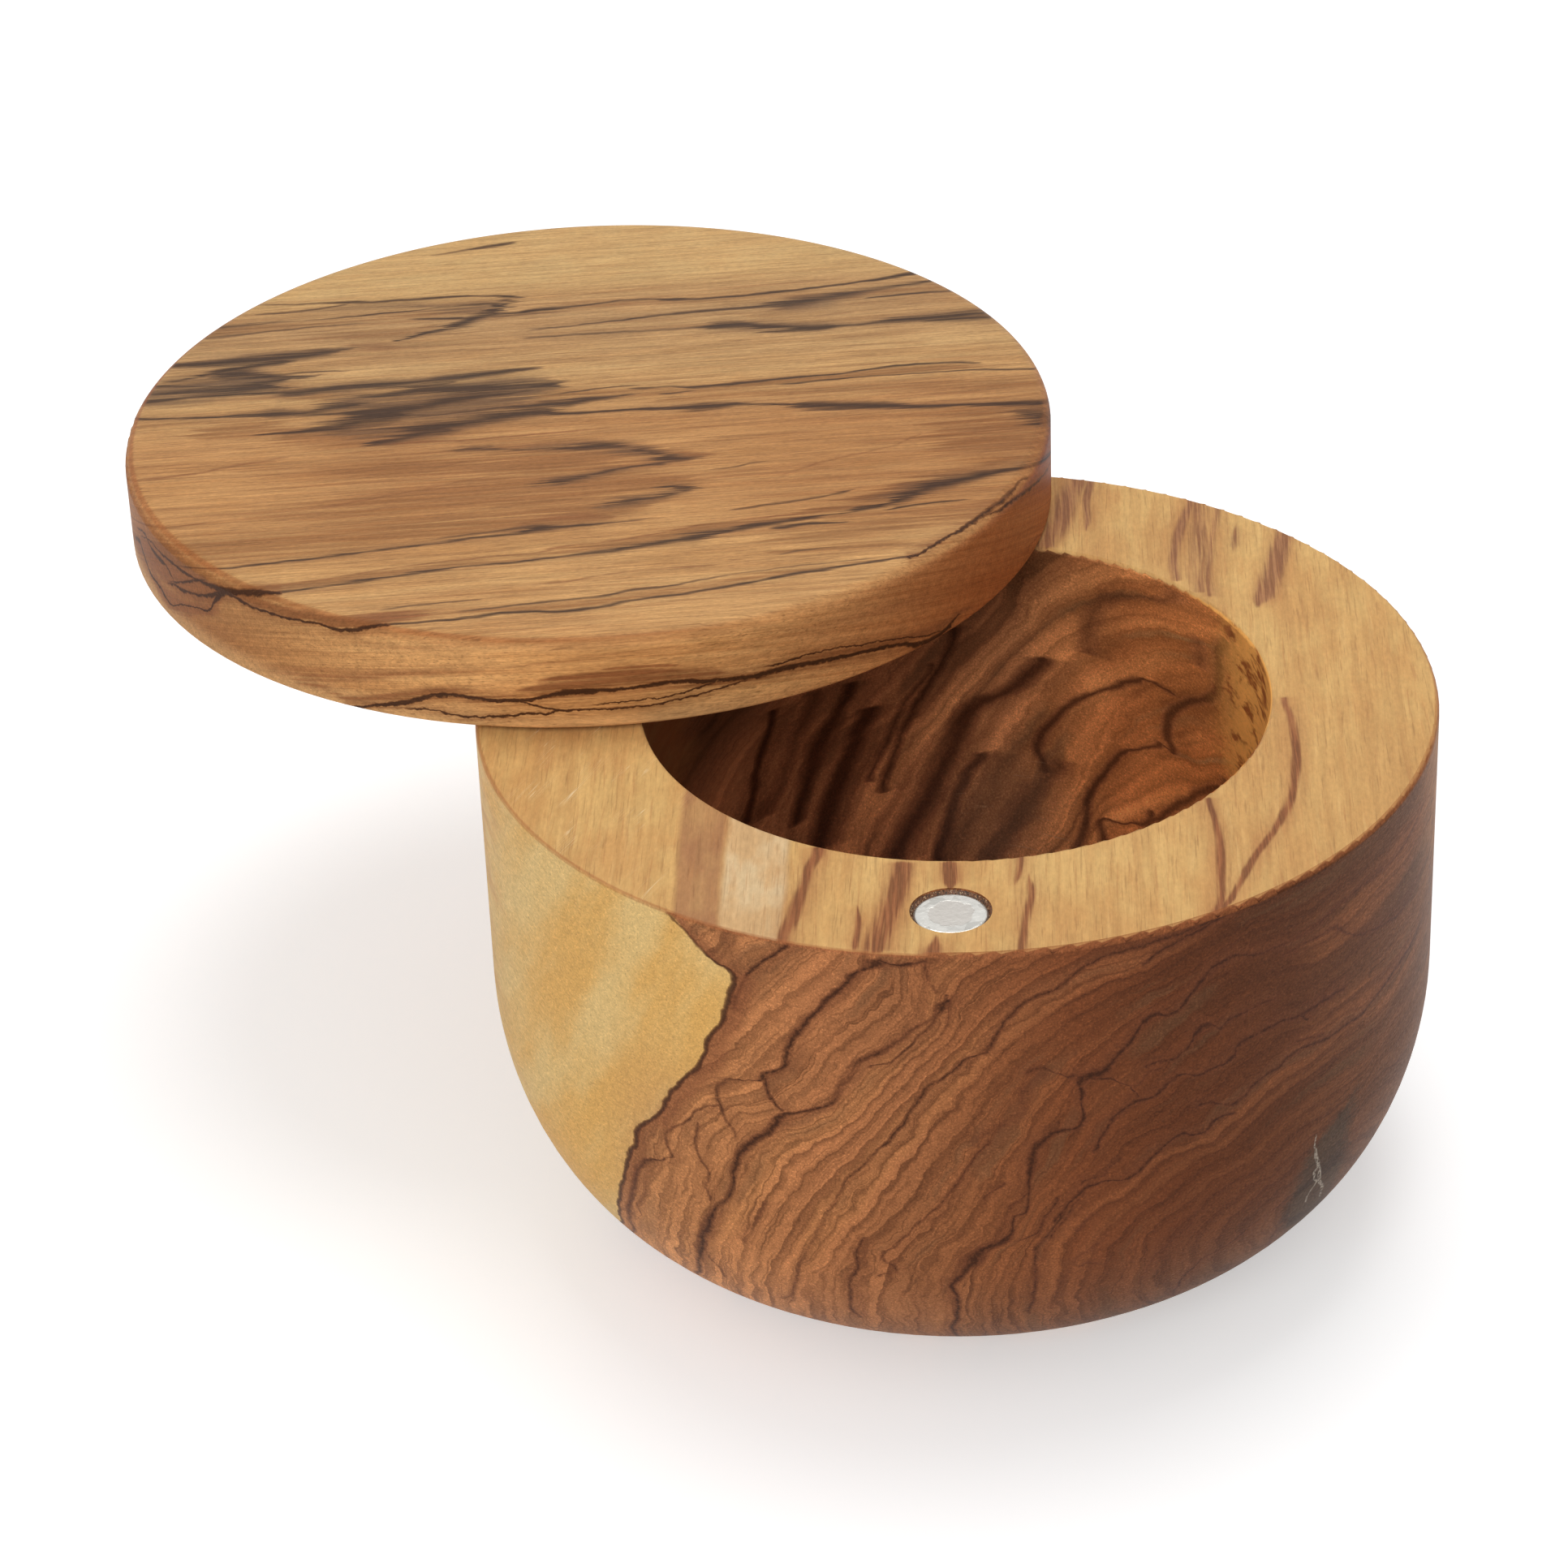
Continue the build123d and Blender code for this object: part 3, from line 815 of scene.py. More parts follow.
def ringed_wood(w, look, spot, rings):
    """End grain without its drawn veins: the ground, its broad bands and its ring lines."""
    xs, zs, outside = spot.xs, spot.zs, spot.outside
    broad, band = rings.broad, rings.band
    mottle = w.stretched_noise(spot.place, (0.09, 0.02, 0.09), 3.0, 0.55)
    # End grain tone across the bowl, darker to the right partly as painted shade.
    colour = w.shades(w.line(xs, 1.0 / 108.0, 0.5), END_GRAIN_TONE_AND_SHADE)
    low = w.times(w.fade(spot.z, 24.0, 2.0, 0.0, 0.5), w.fade(xs, 4.0, 30.0, 0.7, 1.0))
    colour = w.blend(low, colour, srgb(132, 98, 70))

    # The figure is calmer low on the right.
    quiet = w.times(w.fade(xs, 0.0, 22.0), w.fade(zs, 40.0, 26.0), outside)
    contrast = w.plus(w.line(broad, 0.8, -0.36), w.line(band, 0.5, -0.26))
    contrast = w.times(contrast, w.line(quiet, -0.4, 1.0))
    colour = w.toned(colour, w.plus(contrast, w.line(quiet, 0.07, 1.0)))
    pale = w.times(w.fade(broad, 0.5, 0.68), w.line(quiet, -0.25, 0.5))
    pale_tone = w.blend(w.fade(xs, -20.0, 20.0), srgb(186, 126, 76), srgb(150, 92, 56))
    olive = w.times(w.fade(band, 0.46, 0.32), w.fade(mottle, 0.42, 0.6), 0.4)

    # Each ring darkens slowly and ends in a sharp line.
    step = w.math("FRACT", w.plus(w.times(rings.waved, 5.0), w.times(broad, 1.6)))
    ring_end = w.times(w.fade(step, 0.4, 0.95), w.fade(step, 0.995, 0.96))
    ring_end = w.times(ring_end, w.fade(band, 0.36, 0.62, 0.25, 1.0))
    thin = w.times(w.near(band, 0.47, 0.002, 0.02), w.fade(mottle, 0.36, 0.56))
    colour = w.lay(
        colour,
        (pale, pale_tone),
        (olive, srgb(104, 74, 50)),
        (w.times(ring_end, w.line(outside, 0.3, 0.26)), srgb(74, 39, 22)),
        (w.times(thin, w.line(outside, 0.24, 0.2)), look.vein),
        (w.times(w.fade(rings.fine, 0.48, 0.66), w.line(outside, 0.22, 0.18)), srgb(82, 45, 25)),
    )
    low_left = w.times(w.fade(xs, 8.0, -24.0), w.fade(zs, 26.0, 6.0))
    return w.filtered(low_left, colour, w.scaled((0.385, 0.40, 0.405), 4.0))


def hollow_wood(w, spot, rings, colour, stain):
    """The same wood on the far wall of the hollow, redder and darker, more so to the left, where the
    darkening is a painted shadow of the lid.
    """
    x, z = spot.x, spot.z
    # The far wall's tint, darker to the left as a painted shadow of the lid.
    far = w.shades(w.line(spot.xs, 1.0 / 70.0, 0.55), HOLLOW_TINT_AND_LID_SHADOW)
    far = w.blend(1.0, colour, w.scaled(far, 4.2), "MULTIPLY")
    right = w.fade(spot.xs, 2.0, 20.0)
    broadly = w.times(w.line(rings.broad, 1.0, -0.5), w.line(right, -1.15, 1.6))
    banded = w.times(w.line(rings.band, 1.0, -0.5), w.line(right, -0.45, 1.0))
    far = w.toned(far, w.plus(broadly, 1.04, banded))
    far = w.blend(w.times(stain, w.line(right, -0.15, 0.5)), far, srgb(72, 40, 26))
    # Painted shadow of the open lid beside its edge, and a darker patch under the mouth behind it.
    lid_shadow = w.plus(w.line(x, 0.64, 40.5), w.times(z, -0.77))
    lid_shadow = w.times(w.fade(lid_shadow, 14.0, 0.5, 0.0, 0.8), w.fade(z, 34.0, 48.0))
    far = w.filtered(lid_shadow, far, (0.30, 0.28, 0.29))
    brow = w.length(w.line(x, 0.1, -2.05), w.line(z, 0.1, -5.3))
    return w.filtered(w.fade(brow, 1.1, 0.4, 0.0, 0.68), far, (0.52, 0.50, 0.48))


def with_veins(w, look, spot, rings, colour):
    """Lays the drawn veins on the end grain, outside and on the far wall of the hollow."""
    upright = spot.upright
    round_pith = Sheet(w, rings.turn, rings.distance, TURN_SPAN, RING_SPAN)
    standing, standing_stain = upright.draw(by_height(STANDING_VEINS), 1.6, 0.3, gap=0.4)
    ringed, ringed_stain = round_pith.draw(by_turn(RING_VEINS), 1.4, 0.3, gap=0.9)
    far, far_stain = upright.draw(by_height(HOLLOW_VEINS, INSIDE, 1.0), 2.8, 0.3, gap=0.4)
    vein = w.plus(
        w.times(w.most(standing, ringed), spot.outside), w.times(far, 1.25, spot.in_hollow)
    )
    stain = w.times(w.most(standing_stain, ringed_stain), spot.outside)
    soften = w.times(w.line(spot.ragged, -0.9, 0.45), spot.in_hollow)
    vein = w.times(vein, w.plus(w.line(spot.ragged, 1.2, 0.4), soften))
    colour = w.lay(
        colour,
        (w.times(stain, 0.4), look.vein_stain),
        (w.fade(vein, 0.06, 0.4, 0.0, 0.5), srgb(98, 54, 34)),
        (w.fade(vein, 0.25, 1.0, 0.0, 0.86), look.vein),
    )
    return w.blend(spot.in_hollow, colour, hollow_wood(w, spot, rings, colour, far_stain))


def with_finger_marks(w, spot, colour):
    """Years of pinches have left fine level scratches low on the far wall."""
    scraped = w.group("fine_scratches", Position=w.join(spot.x, spot.z, 3.0), Sparse=0.4)["Mask"]
    rubbed = w.length(w.line(spot.x, 0.1, -0.6), w.line(spot.z, 0.11, -2.9))
    rubbed = w.times(w.fade(rubbed, 1.1, 0.4), spot.in_hollow)
    return w.lay(
        colour,
        (w.times(rubbed, 0.3), srgb(136, 104, 78)),
        (w.times(scraped, rubbed, 0.6), srgb(184, 150, 118)),
    )


def with_sapwood(w, look, spot, colour):
    """Lays the pale sapwood beyond its edge, and the dark line and reddish rim along that."""
    xs, zs, outside, past_edge = spot.xs, spot.zs, spot.outside, spot.past_edge
    lean = w.minus(xs, w.times(zs, 0.42))
    soft = w.join(w.times(lean, 0.16), w.times(zs, 0.036), w.times(spot.y, 0.01))
    sap = w.lay(
        look.sapwood,
        (w.fade(w.noise(soft, 3.0, 0.55), 0.35, 0.68), srgb(214, 166, 94)),
        (w.times(w.fade(xs, -42.0, -30.0), w.fade(zs, 50.0, 24.0)), srgb(190, 142, 94)),
        (w.fade(zs, 14.0, 2.0, 0.0, 0.4), srgb(190, 142, 100)),
    )
    beside = w.times(w.fade(past_edge, 3.4, 0.2), w.fade(zs, 8.0, 34.0, 0.3, 0.6), outside)
    beyond = w.times(w.fade(past_edge, -0.25, 0.25, 1.0, 0.0), w.fade(spot.radius, 36.5, 38.0))
    glow, fleck, line = (
        spot.upright.lines(by_height(veins)) for veins in (EDGE_GLOW, SAPWOOD_FLECK, SAPWOOD_EDGE)
    )
    line = w.times(w.plus(line, w.line(spot.ragged, 0.4, -0.2)), outside)
    return w.lay(
        colour,
        (beside, srgb(122, 70, 44)),
        (beyond, sap),
        (w.times(glow, outside, 0.6), srgb(140, 84, 52)),
        (w.times(fleck, outside, 0.8), srgb(126, 78, 48)),
        (w.fade(line, 0.1, 0.4, 0.0, 0.7), srgb(104, 58, 34)),
        (w.fade(line, 0.22, 0.75, 0.0, 0.8), srgb(62, 33, 20)),
    )


def with_pith(w, spot, rings, colour):
    """Lays the pith's dark patch low on the right, and the pale scratch down it."""
    front = w.times(w.fade(spot.y, 0.0, -10.0), spot.outside)
    pith = w.plus(spot.upright.lines(by_height(PITH_PATCH)), w.line(spot.ragged, 0.5, -0.25))
    tone = w.blend(w.fade(rings.band, 0.4, 0.6), srgb(50, 38, 30), srgb(74, 58, 44))
    scratch = w.fade(spot.upright.lines(by_height(PITH_SCRATCH)), 0.1, 0.6, 0.0, 0.8)
    crumbs = w.fade(w.stretched_noise(spot.place, (5.0, 1.0, 3.0), 1.0, 0.6), 0.4, 0.56)
    return w.lay(
        colour,
        (w.times(w.fade(pith, 0.05, 0.6, 0.0, 0.8), front), tone),
        (w.times(scratch, crumbs, front), srgb(170, 158, 142)),
    )


def end_grain_wood(w, look, spot, rings):
    """Colour of the wood seen end on."""
    colour = ringed_wood(w, look, spot, rings)
    colour = with_veins(w, look, spot, rings, colour)
    colour = with_finger_marks(w, spot, colour)
    colour = with_sapwood(w, look, spot, colour)
    return with_pith(w, spot, rings, colour)


def rim_wood(w, spot):
    """Colour of the rim, which is cut along the fibres, with its cream patch and streaks."""
    x, y = spot.x, spot.y
    wave = w.fibre_noise(x, y, (0.3, 0.06), 0.0, 1.0)
    bent_x = w.plus(x, w.line(wave, 1.2, -0.6))
    sheet = Sheet(w, y, bent_x, SIDE_SPAN, SIDE_SPAN)
    cloud = w.stretched_noise(spot.place, (0.16, 0.07, 0.16), 3.0, 0.6)
    silk = w.fibre_noise(bent_x, y, (0.9, 0.045), w.times(spot.zs, 0.5), 3.0, 0.6)
    plank = w.fibre_noise(bent_x, y, (0.3, 0.02), 4.0, 2.0, 0.6)
    threads = w.fibre_noise(bent_x, y, (2.6, 0.09), 8.0, 2.0, 0.6)
    speckle = w.fibre_noise(x, y, (2.4, 0.8), 1.0, 2.0, 0.7)

    front_half = w.fade(y, -4.0, -14.0)
    cream = w.times(w.fade(sheet.lines(by_depth(RIM_CREAM)), 0.08, 0.3), front_half, 0.8)
    cream_tone = w.blend(w.fade(cloud, 0.4, 0.6), srgb(218, 192, 152), srgb(206, 168, 122))
    pink = w.times(w.fade(sheet.lines(by_depth(RIM_PINK)), 0.08, 0.35), front_half)
    streak, beside = sheet.draw(by_depth(RIM_STREAKS), 2.0)
    torn = w.fade(w.times(streak, w.line(threads, 2.2, -0.1)), 0.02, 0.5, 0.0, 0.92)
    thread = w.fade(threads, 0.4, 0.6)
    front_tone = w.blend(thread, srgb(150, 92, 58), srgb(116, 68, 42))
    back_tone = w.blend(thread, srgb(164, 114, 78), srgb(130, 84, 58))
    wood = w.lay(
        w.blend(w.fade(cloud, 0.36, 0.66), srgb(212, 170, 108), srgb(200, 152, 94)),
        (w.times(w.fade(x, 16.0, 44.0), w.fade(y, 20.0, -30.0), 0.55), srgb(196, 148, 92)),
        (w.times(w.fade(silk, 0.52, 0.7), 0.36), srgb(184, 134, 82)),
        (w.times(w.fade(silk, 0.42, 0.3), 0.25), srgb(224, 184, 122)),
        (w.fade(plank, 0.5, 0.66, 0.0, 0.45), srgb(190, 142, 88)),
        (cream, cream_tone),
        (w.times(pink, w.line(cloud, 1.2, 0.2)), srgb(164, 114, 78)),
        (w.times(beside, w.line(silk, 1.3, -0.15)), srgb(170, 114, 70)),
        (torn, w.blend(w.fade(y, -10.0, 10.0), front_tone, back_tone)),
        (w.times(w.fade(threads, 0.56, 0.72), 0.4), srgb(176, 122, 76)),
    )
    wood = w.toned(wood, w.line(speckle, 0.4, 0.8))
    slanted = w.join(w.plus(y, w.times(x, 0.5)), w.plus(x, w.times(y, -0.5)), 1.0)
    scraped = w.group("fine_scratches", Position=slanted, Sparse=0.5)["Mask"]
    return w.blend(w.times(scraped, w.fade(x, -24.0, -34.0), 0.9), wood, srgb(240, 214, 170))


def side_wood(w, look, spot, rings):
    """Colour of the two turned sides, where the fibres run past the viewer."""
    streaky = w.join(w.times(spot.zs, 0.55), w.times(spot.y, 0.03), w.times(spot.xs, 0.55))
    streaky = w.noise(streaky, 3.0, 0.6)
    wood = w.shades(w.math("DIVIDE", rings.field, 6.0), SIDE_BY_RING, "EASE")
    wood = w.toned(wood, w.line(streaky, 0.9, 0.55))
    sap = w.blend(w.fade(streaky, 0.35, 0.7), look.sapwood, srgb(198, 150, 96))
    honey = w.blend(w.fade(streaky, 0.5, 0.64), srgb(250, 180, 96), srgb(158, 92, 48))
    return w.lay(
        wood,
        (w.times(w.near(streaky, 0.5, 0.004, 0.03), 0.5), look.vein),
        (w.fade(spot.past_edge, -0.3, 0.3, 1.0, 0.0), sap),
        (w.times(spot.inside, w.fade(spot.x, 24.0, 31.0)), honey),
        # Painted shadow of the lid: the hollow's left wall darkened.
        (w.times(spot.inside, w.fade(spot.x, -20.0, -28.0), 0.85), srgb(96, 56, 34)),
    )


def bowl_wood_material(look):
    material, w, shader = new_material("olive_wood_bowl", look.wood_roughness)
    spot = BowlSpot(w)
    rings = Rings(w, spot)
    long_colour = w.blend(spot.on_side, rim_wood(w, spot), side_wood(w, look, spot, rings))
    colour = w.blend(spot.end_grain, long_colour, end_grain_wood(w, look, spot, rings))

    # A burnished reddish line where the rim rounds over.
    corner = w.times(w.fade(spot.radius, *RIM_CORNER), w.fade(spot.facing_up, 0.25, 0.5))
    corner = w.times(corner, w.fade(spot.facing_up, 0.985, 0.9))
    colour = w.blend(w.times(corner, 0.5), colour, srgb(160, 96, 58))

    # Fibre and pores, with open specks on the end grain, fewer of them in the sapwood.
    turned = w.join(spot.y, spot.x, spot.z)
    fibre = w.group("wood_fibre", Position=turned, Length=0.05, Coarse=1.0)
    colour = w.toned(colour, w.line(fibre["Lines"], 0.14, 0.93))
    colour = w.blend(w.times(fibre["Pores"], 0.25), colour, srgb(110, 70, 42))
    specks = w.stretched_noise(spot.place, (4.4, 0.6, 4.4), 2.0, 0.7)
    open_wood = w.times(spot.end_grain, w.fade(spot.past_edge, -0.5, 0.3, 0.5, 1.0))
    colour = w.toned(colour, w.plus(w.times(w.line(specks, 1.4, -0.7), open_wood), 1.0))
    # Painted glints: specks on the open end grain lightened as if they caught the light.
    painted_glints = w.times(w.fade(specks, 0.6, 0.7, 0.0, 0.45), open_wood)
    colour = w.blend(painted_glints, colour, w.scaled(colour, 1.5))
    roughness = w.line(specks, -0.25, look.wood_roughness + 0.12)
    height = w.plus(fibre["Height"], w.times(specks, spot.end_grain, 0.5))
    shader.inputs["Specular IOR Level"].default_value = look.wood_shine
    finish_surface(w, shader, colour, roughness, height, WOOD_RELIEF, look.grain_relief)
    return material


# ---------------------------------------------------------------- the lid's wood

# Which way the fibres run, and how far the growth layers lean to the side per mm of depth.
LID_FIBRE_ANGLE = math.radians(7.0)
LID_DIP = 2.5
ALONG_SPAN = (-62.0, 62.0)
ACROSS_SPAN = (-90.0, 60.0)

# Dark streaks whose half width stays below this fray less, in mm.
FINE_VEIN = 0.75

# How far past its ends a soft streak fades out, in mm.
SOFT_GAP = 2.5

# Streaks on the lid as (along the fibres, across, half width, strength) points from its centre,
# written like the bowl's. Lines below the top edge carry on down the side.
LID_DARK = [
    [(-52, 20.9, 60, 90), (-48, 20.8, 90), (-44, 20.9, 141, 95), (-38, 21.3, 154),
     (-33, 21.7, 141, 90), (-30, 22.2, 90, 80), (-27.5, 22.6, 30, 20)],
    [(-51, 16.4, 25, 60), (-48, 17.2, 40, 80), (-45, 18.2, 60, 90), (-42, 19, 102), (-38, 19.8),
     (-35, 20.3, 50, 50), (-33, 20.6, 20, 0)],
    [(-47, 17.2, 30, 0), (-45, 17.2, 115, 80), (-42, 17.4, 205, 90), (-40, 16.8, 154),
     (-38, 16, 102), (-35, 15.5, 50), (-33, 15.3, 40, 70), (-31, 15.9, 15, 30)],
    [(-38, 16.4, 20, 60), (-33, 16.6, 25), (-29, 16.3, 20, 40), (-26.5, 16.2, 10, 0)],
    [(-54, 15.4, 40, 60), (-50, 15.2, 40, 70), (-46, 14.5, 35, 60), (-42, 14.2, 50, 70),
     (-39, 14.6, 60, 90), (-36.5, 15, 50), (-34, 15.2, 20, 0)],
    [(-53, 13.4, 50, 50), (-48, 13.1, 128, 80), (-44, 13, 166, 85), (-41, 13.2, 154, 95),
     (-38.5, 13.6, 128), (-37, 13, 90, 80), (-35, 12.6, 30, 40)],
    [(-55, 11.2, 50, 100), (-51, 11.5, 50, 95), (-47, 12, 50, 80), (-42, 11.8), (-38, 11.5, 60, 90),
     (-35, 11.1, 90, 95), (-32, 11.4, 102, 90), (-28, 11.9, 115), (-24, 12, 102, 85), (-20, 12, 90),
     (-16, 12.4, 102, 95), (-12, 12.9), (-8, 13.3, 60, 90), (-5, 13.5, 30, 60),
     (-3.5, 13.6, 10, 0)],
    [(-36, 10.9, 30, 0), (-33, 10.8, 30, 60), (-28, 11, 20), (-24, 11.2, 50, 80), (-21, 11),
     (-18, 11, 102, 90), (-16, 11.5, 40, 50)],
    [(-33, 8.9, 15, 0), (-29, 9, 30, 70), (-26, 9, 50, 90), (-23, 8.9, 90), (-20, 9.6, 166),
     (-17, 9.3, 205, 85), (-13, 8.7, 243), (-9, 8.9, 218, 80), (-6, 9, 192), (-4, 8.7, 154, 90),
     (-2.5, 8.2, 90, 70), (-0.8, 7.6, 20, 0)],
    [(-56, 7, 25, 80), (-52, 6.6, 30, 90), (-47, 6.2, 25, 85), (-43, 6, 30, 80), (-40, 6, 60),
     (-37, 5.8, 141, 85), (-34, 5.4, 128, 70), (-32, 6.2, 128, 80), (-29, 6.8, 128, 90),
     (-27, 6.9, 60, 70), (-25.5, 6.6, 20, 0)],
    [(-39, 5, 20, 0), (-35, 4.9, 60, 80), (-31, 4.7, 50), (-28, 4.4, 128, 90), (-25, 4.2, 218, 100),
     (-22, 4.8, 154, 95), (-19, 5.4, 128, 90), (-16, 6.4, 128, 95), (-13, 6.8, 102, 90),
     (-10, 6.9, 60, 80), (-6, 7.6, 40, 60), (-3, 7.8, 30, 30)],
    [(-42, 0.4, 20, 0), (-38, 0.5, 30, 80), (-35, 0.6, 50, 90), (-33, 1, 115, 95), (-30, 1.3, 205),
     (-27.5, 2.6, 256, 100), (-25, 3, 243), (-22.5, 3.2, 154, 90), (-20, 2.6, 50, 70),
     (-15, 2.8, 35), (-10, 3.4, 35, 80), (-6, 3.4, 60, 90), (-3, 3.3, 115, 95), (0, 3.9, 90, 90),
     (3, 4.2, 50, 80), (6, 4.6, 30, 50), (9, 4.8, 20, 0)],
    [(-29, -0.3, 30, 30), (-24, -0.2, 50, 60), (-20, -0.6, 141, 85), (-17, -0.4, 166, 90),
     (-14, 0.3, 154, 95), (-11, 0.9, 166), (-8, 1.5), (-5.5, 1.7, 141), (-3, 0.7, 60),
     (0, 0.5, 40, 90), (5, 0.5, 35, 95), (10, 0.2, 45, 90), (14, -0.2, 102, 100), (17, 0, 90),
     (20, -0.4, 30, 80), (24, -0.9, 35, 90), (27, -1.6, 115, 95), (30, -2.3, 128),
     (33, -2.6, 115, 90), (37, -3.3, 90), (41, -4.1, 60), (45, -4.2, 40), (49, -4.6, 60, 95),
     (53, -5, 90), (60, -5.6, 102)],
    [(-28, -4.4, 20, 0), (-26, -4.2, 50, 80), (-23, -3.2, 115, 85), (-20, -2.2, 115, 80),
     (-17, -1.9, 102, 70), (-15, -1.4, 50, 50), (-13, -1, 20, 0)],
    [(-8, 5.9, 15, 0), (-4, 6, 20, 60), (0, 6.5, 20, 70), (3, 6.9), (6, 7, 15, 50),
     (9, 6.9, 10, 0)],
    [(4, 6.4, 20, 0), (7, 6, 30, 70), (10, 6.1, 25, 50), (13, 5.3, 40, 80), (16, 5.4), (20, 5.7),
     (25, 6.2, 35), (30, 6.3, 25, 70), (34, 6.9, 25, 80), (38, 7.4, 30, 90), (43, 7.4, 25, 70),
     (47, 7, 30), (49.5, 6.5, 20, 0)],
    [(22, 4.5, 15, 0), (25, 4.6, 25, 80), (30, 4.9), (35, 5.1, 20, 70), (42, 5), (47, 4.9, 25),
     (51, 4.4), (56, 3.9)],
    [(8, 4.1, 15, 0), (10, 4.1, 25, 70), (13, 4.4, 20, 40), (16, 4.3, 10, 0)],
    [(-12, 29.8, 30, 50), (-8, 29.6, 40, 60), (-4, 30.1, 50, 80), (0, 30.4, 40, 70),
     (5, 31, 30, 60), (8, 31.1), (12, 30.4, 40, 80), (16, 30.1, 30, 70), (20, 30.1),
     (25, 30.6, 40, 80), (30, 31, 35), (35, 31.8), (39, 32.5, 45, 90), (43, 33.4, 60), (50, 34.6)],
    [(-10, 23.6, 20, 0), (-4, 24.5, 20, 50), (0, 24.8, 25, 60), (5, 25.4, 30, 70), (10, 26, 35, 80),
     (15, 26.4), (20, 26.6, 40, 70), (25, 27, 102, 75), (28, 27.3, 166, 80), (31, 27.9, 141, 75),
     (34, 28.6, 128, 70), (38, 29.7, 90), (42, 30.3, 50), (46, 30.9), (50, 31.4)],
    [(34, 26.8, 20, 0), (37, 27.1, 30, 60), (42, 27.4, 30, 70), (47, 27.5, 30, 60),
     (52, 27.6, 30, 50)],
    [(-10, 22.3, 20, 0), (-6, 22.2, 35, 50), (0, 22.2, 35, 60), (5, 22, 50, 70), (8, 21.9, 40, 60),
     (12, 21.9), (15, 22, 50, 80), (18, 21.9, 128, 95), (20.5, 21.8, 115), (22.5, 21, 90, 90),
     (25, 20.6, 90, 95), (27, 19.9, 102), (30, 19.5, 90, 100), (33, 19.6, 40, 80), (37, 19.9, 50),
     (41, 20.2, 90, 90), (45, 20.2, 115), (48, 20.4, 115, 80), (52, 20.8, 128, 60)],
    [(20, 19.2, 20, 0), (24, 19.3, 50, 70), (28, 19.2, 60), (32, 19.5, 20, 0)],
    [(40, 19.4, 40, 0), (44, 19.3, 60, 80), (48, 19.4, 102, 70), (52, 19.2, 128, 50)],
    [(-42, 37, 30, 20), (-36, 36.4, 30, 50), (-31, 36.1, 35, 60), (-28, 35.8, 60, 75),
     (-25, 35.5, 35, 70), (-20, 35.5), (-15, 35.5, 35, 75), (-11, 35.1, 30, 70), (-8.5, 34.5, 40),
     (-6.5, 34, 30, 50), (-5, 33.9, 10, 0)],
    [(-40, 34, 30, 40), (-36, 34.1, 35, 60), (-32, 34.6), (-29, 35.2, 30, 50), (-27, 35.5, 20, 0)],
    [(-46, 30.9, 60, 40), (-42, 31.2, 50, 60), (-38, 31.4, 35), (-34, 31.4, 20),
     (-28, 31.6, 25, 70), (-22, 32.1, 25, 75), (-17, 32.6, 25, 80), (-13, 32.8, 30, 85),
     (-10.5, 32.6, 35, 90), (-9.4, 31.8, 90, 95), (-9, 30.9, 115)],
    [(-23, 23.6, 20, 40), (-21.5, 24.3, 35, 95), (-19.5, 25.2, 40, 100), (-17, 26.1, 60, 95),
     (-15, 27.3, 128), (-13.5, 28.5, 141), (-12, 29.2, 115), (-10.5, 30, 102), (-9.3, 31.2, 141),
     (-8.6, 32, 128, 80), (-8, 33, 128, 60), (-7, 33.7, 60, 40), (-5.5, 34, 20, 0)],
    [(-24, 30, 20, 0), (-20, 29.7, 25, 70), (-17, 29.4, 35, 80), (-15, 29.2, 30), (-13, 29, 20, 0)],
    [(-13, 28.9, 30, 0), (-9, 28.8, 40, 40), (-4, 29, 30), (2, 29, 20, 0)],
    [(-46, 28.2, 50, 40), (-40, 28.8, 30, 50), (-34, 29.3, 25), (-28, 29.5, 20, 40),
     (-22, 29.3, 20, 0)],
    [(-18, 48.4, 30, 30), (-13, 49.4, 40, 60), (-9, 50.2, 50, 80), (-7, 50.7, 40, 70),
     (-5.5, 51, 10, 0)],
    [(-18, -7, 40, 0), (-15, -6.9, 90, 50), (-12, -7.2, 102, 55), (-10, -7.9, 40, 60),
     (-6, -8.2, 30, 80), (-3, -8.4, 50, 85), (0, -8.4, 102), (3, -8.7, 102, 75), (5, -9.4, 60, 60),
     (6.5, -10.6, 115, 70), (7.5, -11.8, 166, 85), (8.5, -12.6, 141, 90), (10, -13.2, 90, 85),
     (12.5, -13.4, 50, 60), (15, -13.7, 20, 0)],
    [(-8, -17.6, 30, 0), (-6, -17.1, 40, 60), (-3.5, -16.9, 102, 80), (-1, -16.2, 60, 70),
     (1, -15.3, 50, 85), (3, -14.8, 40, 70), (6, -14.5, 30), (9, -14.2), (10.5, -14, 10, 0)],
    [(6, -19.2, 20, 0), (8, -20.3, 30, 60), (10, -20.6, 90, 90), (11.5, -20.9, 50, 60),
     (14, -21.3, 10, 0)],
    [(0, -24.2, 30, 0), (1.5, -23.6, 50, 60), (3.5, -23, 90, 85), (6, -22.7, 40, 80),
     (8, -22.2, 40, 75), (10, -21.5, 50, 70), (11.5, -21.2, 30, 40), (13, -21, 10, 0)],
    [(-50, -32.9, 30, 90), (-44, -32.8, 30, 85), (-38, -32.4, 25, 80), (-33, -31.9, 30),
     (-28, -31.2), (-23, -30.6, 30, 75), (-18, -30.1, 35, 80), (-13, -29.4, 35, 85), (-9, -29.2),
     (-6, -28.3, 90), (-4, -28.4, 50, 90), (0, -28.2, 35, 80), (5, -27.8, 25, 40),
     (8, -27.6, 10, 0)],
    [(-22, -29.4, 20, 0), (-17, -28.9, 30, 50), (-13, -28.5), (-9, -27.9, 50), (-6, -27.6, 40, 30)],
